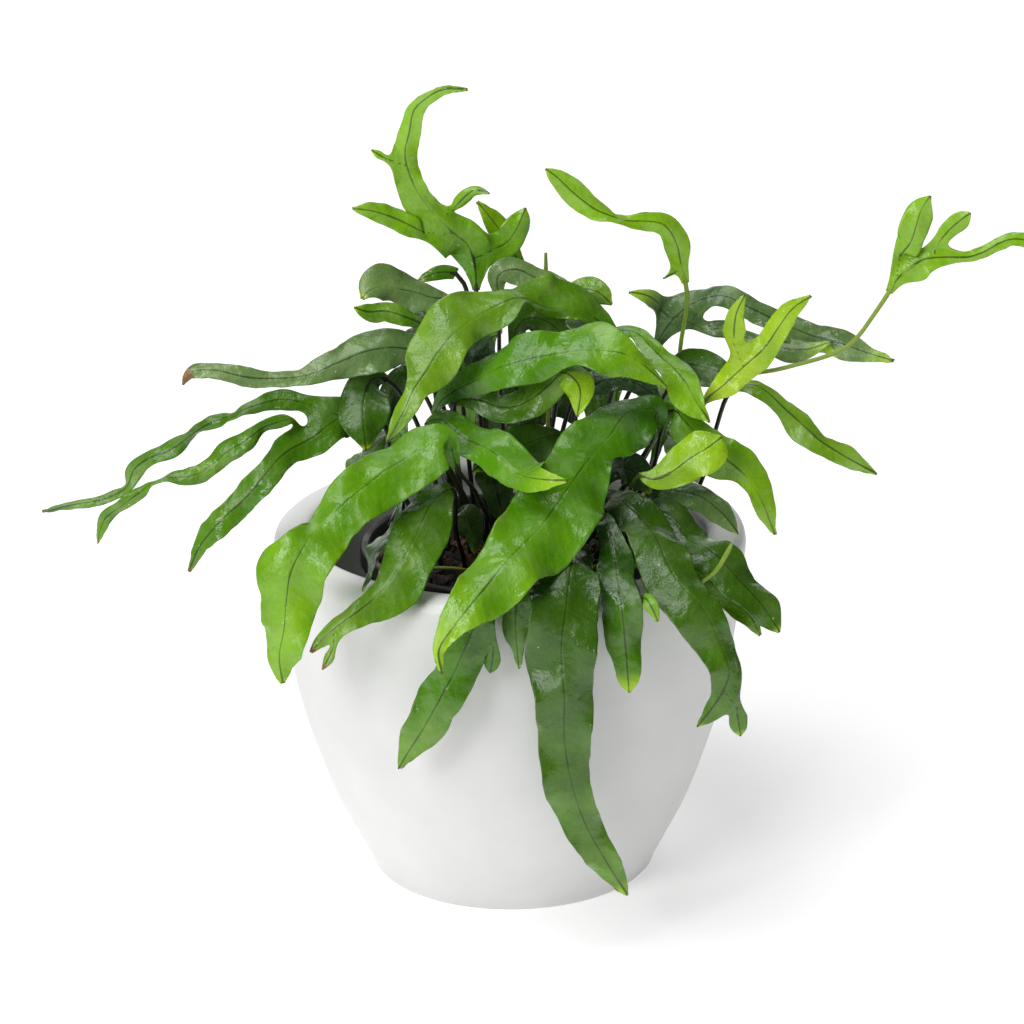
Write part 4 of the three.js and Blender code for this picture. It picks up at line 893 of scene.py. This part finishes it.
        "path": [(-6, 52, 185, 2.6), (-7, 64, 206, 6), (-9, 82, 213, 18), (-13, 104, 198, 20),
            (-17, 122, 168, 17), (-19, 132, 138, 12), (-19, 136, 118, 2.5)],
    },
    "frond_back_right": {
        "green": "dark", "tones": (0.1, 0.4),
        "root": (14, 37), "face": (0, 0.6, 0.8),
        "path": [(19, 56, 182, 2.6), (23, 70, 204, 6), (28, 90, 209, 19), (34, 112, 192, 21),
            (39, 128, 162, 18), (43, 136, 134, 12), (45, 140, 116, 2.5)],
    },
    "frond_back_far_right": {
        "green": "mid", "tones": (0.3, 0.7),
        "root": (32, 35), "face": (0.2, 0.6, 0.8),
        "path": [(43, 52, 172, 2.6), (47, 66, 187, 6), (51, 84, 191, 16), (58, 102, 177, 17),
            (66, 116, 152, 14), (73, 124, 130, 2.5)],
    },
    "frond_back_low_left": {
        "green": "mid", "tones": (0.2, 0.6),
        "root": (-33, 21), "face": (-0.4, 0.5, 0.8),
        "path": [(-41, 36, 158, 2.6), (-45, 50, 167, 8), (-52, 66, 165, 16), (-60, 82, 149, 16),
            (-67, 94, 127, 11), (-71, 99, 108, 2.5)],
    },
    "frond_back_low_right": {
        "green": "dark", "tones": (0.1, 0.5),
        "root": (44, 25), "face": (0.4, 0.5, 0.8),
        "path": [(59, 38, 156, 2.6), (63, 52, 166, 8), (67, 70, 164, 16), (73, 88, 148, 16),
            (79, 100, 126, 11), (83, 106, 108, 2.5)],
    },
    "frond_back_low_middle": {
        "green": "dark", "tones": (0.1, 0.4),
        "root": (4, 44), "face": (0, 0.6, 0.8),
        "path": [(5, 62, 152, 2.6), (3, 76, 162, 8), (1, 94, 160, 17), (-3, 110, 142, 17),
            (-7, 120, 118, 11), (-9, 123, 100, 2.5)],
    },
    "frond_back_low_inner": {
        "green": "mid", "tones": (0.3, 0.6),
        "root": (25, 44), "face": (0, 0.6, 0.8),
        "path": [(31, 62, 151, 2.6), (35, 78, 159, 8), (39, 96, 155, 15), (41, 112, 137, 15),
            (42, 121, 114, 10), (42, 124, 98, 2.5)],
    },
    "frond_back_low_outer": {
        "green": "bright", "tones": (0.3, 0.8), "freshTip": 14,
        "root": (-23, 40), "face": (-0.2, 0.6, 0.8),
        "path": [(-30, 58, 152, 2.6), (-35, 74, 159, 8), (-41, 90, 152, 15), (-47, 104, 134, 14),
            (-52, 111, 112, 2.5)],
    },
    "frond_inner_rear": {
        "green": "dark", "tones": (0.1, 0.1),
        "root": (-22, 10), "face": (0, -0.9, 0.4),
        "path": [(-29, 5, 188, 2.6), (-36, 9, 201, 3), (-41, 10, 206, 8), (-46, 9, 200, 10),
            (-48, 8, 190, 8), (-47, 8, 180, 2)],
    },
    "sprout_creeping": {
        "green": "lime", "tones": (0.4, 0.4), "stalkTone": 0.9,
        "root": (-33, -32), "face": (0, -0.9, 0.4),
        "path": [(-30, -35, 139, 2.2), (-22, -36, 139, 2.2), (-13, -37, 138, 1.8)],
    },
    "sprout_crown": {
        "green": "lime", "tones": (0.6, 0.6), "stalkTone": 1,
        "root": (14, 27), "face": (0, -0.95, 0.3),
        "path": [(17, 30, 200, 2), (16, 28, 234, 2), (16, 28, 243, 2.4), (16, 28, 250, 1.6)],
    },
}
bladeForm = {
    "station": 2.4,  # mm between cross-sections, before the blade is subdivided
    "sample": 0.9,  # mm between the points of the midrib that a blade is measured from
    "sides": (-1, -0.9, -0.62, -0.3, 0, 0.3, 0.62, 0.9, 1),  # places of its points, margin to margin
    "overRib": 0.8,  # how little a point's height over the midrib counts in finding its place
    "waveLength": 33,
    "waveHeight": 3.5,
    "waveShift": 1.1,
    "ruffle": 0.1,
    "ruffleLength": 25,
    "ruffleShift": 2.3,
    "arch": 0.1,
    "fold": 0.02,  # how round the fold along the midrib is
    "fullWidth": 20,  # mm, a blade this wide has its waves and dents at full height
    "tipRound": 0.6,  # share of the tip's width over which it closes
    "rumple": 4.0,  # mm, soft dents and bumps all over
    "rumpleLength": 17,
    "crimp": 0.7,  # mm, short waves of the margin alone
    "crimpLength": 8,
    "uneven": 0.2,  # share of the width that the margins wander in and out
    "unevenLength": 12,
    "nick": 0.7,  # mm, small nicks and bays of the margin
    "nickLength": 3.4,
    "drawnLoose": 0.25,  # how much of that wandering is left where a path gives both margins
    "footFade": 12,  # mm from the blade's foot to where its waves are full
    "forkSpan": 0.55,  # share of a finger's width that it takes of the margin, to each side
    "fingerFade": 4,  # sections from a finger's foot to where its waves are full
    "softRows": 2,  # rows of a finger that are relaxed with the margin
    "relaxings": 4,
    "edgeThick": 0.38,
    "ribThick": 1.0,
    "ribReach": 0.9,  # mm over which the blade thins out beside the midrib
    "rootFloor": 122.3,  # where the stalks end in the soil
    "rootTop": 138,
    "stalk": 0.95,  # radius of the stalk
    "stalkStep": 4,
    "stalkInto": 18,  # how far the stalk runs on under the blade before it thins out
    "stalkLost": 0.88,  # share of its radius that is gone there
    "stalkSink": 0.8,  # share of its radius that it lies below the blade
    "stalkWidth": 2.6,  # width that a path's row has on the stalk
    "leastWidth": 1.0,
}


def curvePoint(points, place):
    # centripetal curve through the points
    last = len(points) - 1
    i = min(int(place), last - 1)
    t = place - i
    p1, p2 = points[i], points[i + 1]
    p0 = points[i - 1] if i else 2 * p1 - p2
    p3 = points[i + 2] if i + 2 <= last else 2 * p2 - p1
    d0, d1, d2 = [(b - a).length ** 0.5 for a, b in ((p0, p1), (p1, p2), (p2, p3))]
    t1 = ((p1 - p0) / d0 - (p2 - p0) / (d0 + d1) + (p2 - p1) / d1) * d1
    t2 = ((p2 - p1) / d1 - (p3 - p1) / (d1 + d2) + (p3 - p2) / d2) * d1
    return p1 + t1 * t + (3 * (p2 - p1) - 2 * t1 - t2) * t * t + (2 * (p1 - p2) + t1 + t2) * t**3


def halves(row):
    # how far the left and the right margin stand from the midrib
    return row[3:5] if len(row) > 4 else (row[3] / 2, row[3] / 2)


def sections(rows, face, turns, step, start=0.0):
    # cross-sections along a path: middle, directions, width and distance from the first row
    points = [Vector(row[:3]) for row in rows]
    margins = [[halves(row)[side] for row in rows] for side in (0, 1)]
    loose = bladeForm["drawnLoose"] if any(len(row) > 4 for row in rows) else 1.0
    rolls = [math.radians(turns.get(i, 0)) for i in range(len(rows))]
    last = len(rows) - 1
    places = [0.0]
    for i in range(last):
        steps = max(1, round((points[i + 1] - points[i]).length / step))
        places += [i + k / steps for k in range(1, steps + 1)]
    found = []
    distance = 0.0
    middle = points[0]
    for place in places:
        here = curvePoint(points, place)
        distance += (here - middle).length
        middle = here
        if place < start - 1e-6:
            continue
        low, high = max(0.0, place - 0.01), min(float(last), place + 0.01)
        along = (curvePoint(points, high) - curvePoint(points, low)).normalized()
        up = Vector(face)
        up = (up - along * up.dot(along)).normalized()
        up = Matrix.Rotation(smoothValue(rolls, place), 3, along) @ up
        left, right = [max(bladeForm["leastWidth"] / 2, smoothValue(side, place)) for side in margins]
        found.append({
            "middle": here, "along": along, "up": up, "across": along.cross(up), "distance": distance,
            "left": left, "right": right, "width": left + right, "place": place, "loose": loose,
        })
    for section in found:
        section["toTip"] = distance - section["distance"]
        section["tipWidth"] = found[-1]["width"]
    return found


def bladeRing(section, sides, phase, fade=1.0):
    # one row of a blade's points, from the left margin to the right
    form = bladeForm
    capLength = max(1.0, section["tipWidth"] * form["tipRound"])
    toTip = min(1.0, section["toTip"] / capLength)
    roundTip = math.sqrt(max(0.01, toTip * (2 - toTip)))
    fullness = min(1, section["width"] / form["fullWidth"])
    swing = 2 * math.pi * section["distance"]
    points = []
    for side in sides:
        beat = swing / form["ruffleLength"] + side * form["ruffleShift"] + phase
        wander = noise.noise(Vector((section["distance"] / form["unevenLength"], side * 3, phase)))
        swell = 1 + fade * section["loose"] * (form["ruffle"] * math.sin(beat) + form["uneven"] * wander)
        turn = swing / form["waveLength"] + phase + side * form["waveShift"]
        wave = form["waveHeight"] * fullness * math.sin(turn)
        bow = math.sqrt(side * side + form["fold"]) - math.sqrt(form["fold"])
        lift = bow * (wave - form["arch"] * section["width"]) * fade
        reach = side * section["left" if side < 0 else "right"] * roundTip * swell
        nick = Vector((section["distance"] / form["nickLength"], side * 9, phase + 40))
        reach += side * abs(side) ** 3 * noise.noise(nick) * form["nick"] * fade
        point = section["middle"] + section["across"] * reach + section["up"] * lift
        dent = noise.noise(point / form["rumpleLength"] + Vector((0, 0, phase))) * form["rumple"] * fullness
        crimp = math.sin(swing / form["crimpLength"] + 4 * wander) * form["crimp"] * abs(side) ** 6
        points.append(point + section["up"] * (dent + crimp) * fade)
    return points


def evenSides(count):
    return [2 * j / (count - 1) - 1 for j in range(count)]


def findFork(spine, lobe):
    # the margin that a finger grows from, and the sections it spans
    start = Vector(lobe[0][:3])
    best = None
    for i, section in enumerate(spine):
        for side, reach in ((-1, -section["left"]), (1, section["right"])):
            distance = (section["middle"] + section["across"] * reach - start).length
            if best is None or distance < best[0]:
                best = (distance, i, side)
    span = max(1, round(bladeForm["forkSpan"] * sum(halves(lobe[0])) / bladeForm["station"]))
    first = max(1, best[1] - span)
    last = min(len(spine) - 2, best[1] + span)
    return {"side": best[2], "first": first, "last": last, "middle": best[1]}


def bladeSheet(frond, rows, turns, bladeStart, phase):
    # points and quads of the blade's middle surface, with every finger grown from its margin
    form = bladeForm
    spine = sections(rows, frond["face"], turns, form["station"], bladeStart)
    points, quads, soft = [], [], set()

    def addRow(row):
        points.extend(row)
        return list(range(len(points) - len(row), len(points)))

    def bridge(one, two):
        quads.extend([one[j], one[j + 1], two[j + 1], two[j]] for j in range(len(one) - 1))

    rings = []
    for section in spine:
        fade = min(1.0, (section["distance"] - spine[0]["distance"]) / form["footFade"])
        rings.append(addRow(bladeRing(section, form["sides"], phase, fade)))
    for one, two in zip(rings, rings[1:]):
        bridge(one, two)
    lines = [spine]
    lobes = frond.get("lobes", [])
    lobeTurns = frond.get("lobeTurns", [{}] * len(lobes))
    for k, lobe in enumerate(lobes):
        fork = findFork(spine, lobe)
        column = len(form["sides"]) - 1 if fork["side"] > 0 else 0
        margin = [ring[column] for ring in rings[fork["first"] : fork["last"] + 1]]
        if fork["side"] > 0:
            margin.reverse()
        finger = sections(lobe, frond["face"], lobeTurns[k], form["station"])
        sides = evenSides(len(margin))
        row = margin
        for i, section in enumerate(finger):
            fresh = addRow(bladeRing(section, sides, phase + k, min(1.0, i / form["fingerFade"])))
            bridge(row, fresh)
            row = fresh
            if i < form["softRows"]:
                soft.update(fresh)
        soft.update(margin)
        lines.append(lobeLine(spine, finger, fork))
    return smoothed(points, quads, soft), quads, lines


def lobeLine(spine, finger, fork):
    # the finger's midrib, led back through the blade to the main midrib
    foot, beside = finger[0], spine[fork["middle"]]
    gapWidth = beside["right" if fork["side"] > 0 else "left"]
    back = round(foot["along"].dot(beside["along"]) * gapWidth / bladeForm["station"])
    joint = spine[max(0, min(len(spine) - 1, fork["middle"] - back))]
    start, end = joint["middle"], foot["middle"]
    gap = (end - start).length
    steps = max(2, round(gap / bladeForm["station"]))
    along = (end - start).normalized()
    up = (foot["up"] - along * foot["up"].dot(along)).normalized()
    lead = []
    for i in range(steps):
        share = i / steps
        lead.append({
            "middle": start.lerp(end, share), "along": along, "up": up, "across": along.cross(up),
            "distance": joint["distance"] + share * gap,
        })
    offset = joint["distance"] + gap
    return lead + [{**section, "distance": section["distance"] + offset} for section in finger]


def smoothed(points, quads, soft):
    # relaxes the joints between a blade and its fingers
    near = {i: set() for i in soft}
    for quad in quads:
        for a, b in zip(quad, quad[1:] + quad[:1]):
            if a in near:
                near[a].add(b)
            if b in near:
                near[b].add(a)
    for _ in range(bladeForm["relaxings"]):
        moved = {}
        for i, others in near.items():
            middle = sum((points[k] for k in others), Vector()) / len(others)
            moved[i] = points[i].lerp(middle, 0.5)
        for i, point in moved.items():
            points[i] = point
    return points


def denseLine(line):
    # a midrib's places, directions and distances, closely sampled
    keys = ("middle", "along", "up", "across")
    found = {key: [] for key in keys}
    distances = []
    for one, two in zip(line, line[1:]):
        steps = max(1, round((two["middle"] - one["middle"]).length / bladeForm["sample"]))
        for k in range(steps):
            for key in keys:
                found[key].append(one[key].lerp(two[key], k / steps))
            distances.append(one["distance"] + (two["distance"] - one["distance"]) * k / steps)
    for key in keys:
        found[key].append(line[-1][key])
    dense = {key: np.array([tuple(vector) for vector in vectors]) for key, vectors in found.items()}
    return {**dense, "distance": np.array([*distances, line[-1]["distance"]])}


def markBlade(piece, lines, frond):
    # writes where each point lies on the blade, how old the tissue is there, and a tone that is partly
    # painted light and shade
    mesh = piece.data
    places = np.empty(len(mesh.vertices) * 3)
    mesh.vertices.foreach_get("co", places)
    places = places.reshape(-1, 3) / mm
    count = len(places)
    bestKey = np.full(count, np.inf)
    along, rib, toTip = [np.zeros(count) for _ in range(3)]
    for line in lines:
        dense = denseLine(line)
        offset = places[:, None, :] - dense["middle"][None]
        upPart = np.einsum("nmk,mk->nm", offset, dense["up"])
        flat = (offset**2).sum(2) - bladeForm["overRib"] * upPart**2
        nearest = flat.argmin(1)
        own = offset[np.arange(count), nearest]
        side = (own * dense["across"][nearest]).sum(1)
        ahead = (own * dense["along"][nearest]).sum(1)
        atEnd = (nearest == 0) | (nearest == len(dense["distance"]) - 1)
        reach = np.where(atEnd, np.hypot(side, ahead), np.abs(side))
        key = np.sqrt(flat.min(1))
        better = key < bestKey
        bestKey[better] = key[better]
        rib[better] = reach[better]
        along[better] = (dense["distance"][nearest] + ahead)[better]
        toTip[better] = (dense["distance"][-1] - dense["distance"][nearest] - ahead)[better]
    edge = marginDistance(mesh)
    foot = lines[0][0]["distance"]
    total = lines[0][-1]["distance"] - foot
    share = np.clip((along - foot) / total, 0, 1)
    # tone along the blade: age, and partly painted light, lower where a frond sits in shade and higher where
    # it is lit or sheened
    tone = frond["tones"][0] + (frond["tones"][1] - frond["tones"][0]) * share
    fresh = tipShare(toTip, frond.get("freshTip", 3))
    brown = tipShare(toTip, frond.get("brownTip", 0))
    writeVectors(mesh, "leafPlace", np.stack([rib, along, edge], 1))
    writeVectors(mesh, "leafAgeAndLight", np.stack([fresh, brown, tone], 1))
    return rib


def tipShare(toTip, length):
    # 1 at the tip, fading to 0 over the length
    if not length:
        return np.zeros_like(toTip)
    return np.clip(1 - toTip / length, 0, 1) ** 0.8


def marginDistance(mesh):
    # how far each point is from the nearest open edge
    uses = {}
    for polygon in mesh.polygons:
        for key in polygon.edge_keys:
            uses[key] = uses.get(key, 0) + 1
    margin = [key for key, n in uses.items() if n == 1]
    tree = kdtree.KDTree(len(margin) * 2)
    for i, (a, b) in enumerate(margin):
        one, two = mesh.vertices[a].co, mesh.vertices[b].co
        tree.insert(one, 2 * i)
        tree.insert((one + two) / 2, 2 * i + 1)
    tree.balance()
    return np.array([tree.find(vertex.co)[2] / mm for vertex in mesh.vertices])


def writeVectors(mesh, name, values):
    attribute = mesh.attributes.new(name, "FLOAT_VECTOR", "POINT")
    attribute.data.foreach_set("vector", np.ascontiguousarray(values, dtype=np.float32).ravel())


def makeBlade(name, frond, rows, turns, bladeStart, phase):
    form = bladeForm
    points, quads, lines = bladeSheet(frond, rows, turns, bladeStart, phase)
    piece = newPiece(name, [point * mm for point in points], quads)
    addModifier(piece, "SUBSURF", levels=1, render_levels=1)
    rib = markBlade(piece, lines, frond)
    group = piece.vertex_groups.new(name="thickness")
    thin = form["edgeThick"] / form["ribThick"]
    for i, distance in enumerate(rib):
        bulge = math.exp(-((distance / form["ribReach"]) ** 2))
        group.add([i], thin + (1 - thin) * bulge, "REPLACE")
    addModifier(
        piece, "SOLIDIFY", thickness=form["ribThick"] * mm, offset=-0.4, vertex_group="thickness",
        material_offset=1, use_quality_normals=True,
    )
    piece.vertex_groups.clear()
    return piece


def makeStalk(name, frond, rows, turns, bladeStart):
    # a round stalk from the soil that thins out under the blade's foot
    form = bladeForm
    spine = sections(rows, frond["face"], turns, form["stalkStep"])
    isSprout = bladeStart is None
    footAt = math.inf if isSprout else next(s["distance"] for s in spine if s["place"] >= bladeStart)
    curve = bpy.data.curves.new(name, "CURVE")
    curve.dimensions = "3D"
    curve.bevel_depth = 1.0
    curve.bevel_resolution = 2
    curve.use_fill_caps = True
    kept = [s for s in spine if s["distance"] <= footAt + form["stalkInto"]]
    spline = curve.splines.new("POLY")
    spline.points.add(len(kept) - 1)
    for point, section in zip(spline.points, kept):
        past = max(0.0, (section["distance"] - footAt) / form["stalkInto"])
        taper = min(1, section["width"] / form["stalkWidth"] + past)
        radius = form["stalk"] * (1 - form["stalkLost"] * past) * taper
        sink = section["up"] * radius * form["stalkSink"] * min(1, past * 4)
        point.co = (*((section["middle"] - sink) * mm), 1)
        point.radius = radius * mm
    piece = bpy.data.objects.new(name, curve)
    bpy.context.collection.objects.link(piece)
    selectOnly(piece)
    bpy.ops.object.convert(target="MESH")
    piece = bpy.context.active_object
    tone = frond.get("stalkTone", stalkTone[frond["green"]])
    writeVectors(piece.data, "leafAgeAndLight", np.tile([0.0, 0.0, tone], (len(piece.data.vertices), 1)))
    return piece


def makeFronds():
    leafTops = {key: leafMaterial(key + "LeafTop", finish, False) for key, finish in leafFinish.items()}
    leafUnders = {key: leafMaterial(key + "LeafUnder", finish, True) for key, finish in leafFinish.items()}
    stalkFinish = stalkMaterial()
    width = bladeForm["stalkWidth"]
    for i, (name, frond) in enumerate(fronds.items()):
        x, y = frond["root"]
        inSoil = [(x, y, bladeForm[end], width) for end in ("rootFloor", "rootTop")]
        rows = inSoil + frond["path"]
        turns = {row + len(inSoil): degrees for row, degrees in frond.get("turns", {}).items()}
        wide = [k for k, row in enumerate(rows) if sum(halves(row)) > 2 * width]
        bladeStart = wide[0] - 1 if wide else None
        stalk = makeStalk(name + "Stalk", frond, rows, turns, bladeStart)
        stalk.data.materials.append(stalkFinish)
        pieces = [stalk]
        if wide:
            blade = makeBlade(name + "Blade", frond, rows, turns, bladeStart, i * 1.7)
            finish = frond.get("finish", frond["green"])
            blade.data.materials.append(leafTops[finish])
            blade.data.materials.append(leafUnders[finish])
            pieces = [blade, stalk]
        piece = joinPieces(pieces, name + "Leaf")
        selectOnly(piece)
        bpy.ops.object.shade_smooth()
        finishPiece(piece, name)
    print("fronds made:", len(fronds))


studio = {
    "target": (1.1, 0, 149.7),  # mm, what the camera looks at
    "elevation": 19.5,
    "distance": 1600,
    "roll": 0.75,
    "lens": 139.44,
    "floor": 12,  # metres
    "tooth": 2,  # mm
    "table": "#f9f9f9",
    "brightTable": "#fdfdfd",
    "tableGlow": 0.36,
    "world": 0.07,
    "aim": (0, 0, 0.15),  # metres, where every panel looks
    "panels": {
        # (place in metres, size in metres, watts)
        "overhead": ((-0.7, -0.3, 2.3), 1.5, 33),
        "frontLeft": ((-1.2, -1.85, 1.4), 1.0, 28),
        "back": ((0, 2.8, 1.4), 3.0, 40),
    },
}


def floorMaterial():
    # a light table of opal acrylic: white, matt and lit a little from below
    glow = {"Emission Color": (1, 1, 1, 1), "Emission Strength": studio["tableGlow"]}
    material, tree, shader = newMaterial("opalAcrylic", {"Roughness": 0.9, "Specular IOR Level": 0.2, **glow})
    where = (addNode(tree, "TexCoord", {}, {}), "Object")
    tooth = addNode(tree, "TexNoise", {}, {"Vector": where, "Scale": perMetre(studio["tooth"]), "Detail": 2})
    colour = paintLayers(tree, studio["table"], [(tooth, 0.3, 0.7, 1, studio["brightTable"])])
    connect(tree, shader, {"Base Color": colour})
    return material


def makeStudio():
    bpy.ops.object.select_all(action="DESELECT")
    bpy.ops.mesh.primitive_grid_add(x_subdivisions=8, y_subdivisions=8, size=studio["floor"])
    floor = bpy.context.active_object
    floor.name = "paperFloor"
    floor.data.materials.append(floorMaterial())

    scene = bpy.context.scene
    scene.view_settings.view_transform = "Standard"
    world = bpy.data.worlds.new("studioLight")
    world.use_nodes = True
    background = world.node_tree.nodes["Background"]
    background.inputs["Color"].default_value = (1, 1, 1, 1)
    background.inputs["Strength"].default_value = studio["world"]
    scene.world = world
    for name, (place, size, watts) in studio["panels"].items():
        lamp = bpy.data.lights.new(name, "AREA")
        lamp.size = size
        lamp.energy = watts
        panel = bpy.data.objects.new(name, lamp)
        panel.location = place
        aim = Vector(studio["aim"]) - Vector(place)
        panel.rotation_euler = aim.to_track_quat("-Z", "Y").to_euler()
        bpy.context.collection.objects.link(panel)

    tilt = math.radians(studio["elevation"])
    back = Vector((0, -math.cos(tilt), math.sin(tilt)))
    right = Vector((1, 0, 0))
    up = back.cross(right)
    turn = Matrix((right, up, back)).transposed() @ Matrix.Rotation(-math.radians(studio["roll"]), 3, "Z")
    camera = bpy.data.objects.new("camera", bpy.data.cameras.new("camera"))
    camera.data.lens = studio["lens"]
    camera.data.sensor_width = 36
    camera.data.clip_end = 100
    place = (Vector(studio["target"]) + back * studio["distance"]) * mm
    camera.matrix_world = Matrix.Translation(place) @ turn.to_4x4()
    bpy.context.collection.objects.link(camera)
    scene.camera = camera
    print("studio made")


makeStudio()
makePot()
makeNurseryPot()
makeSoil()
makeFronds()
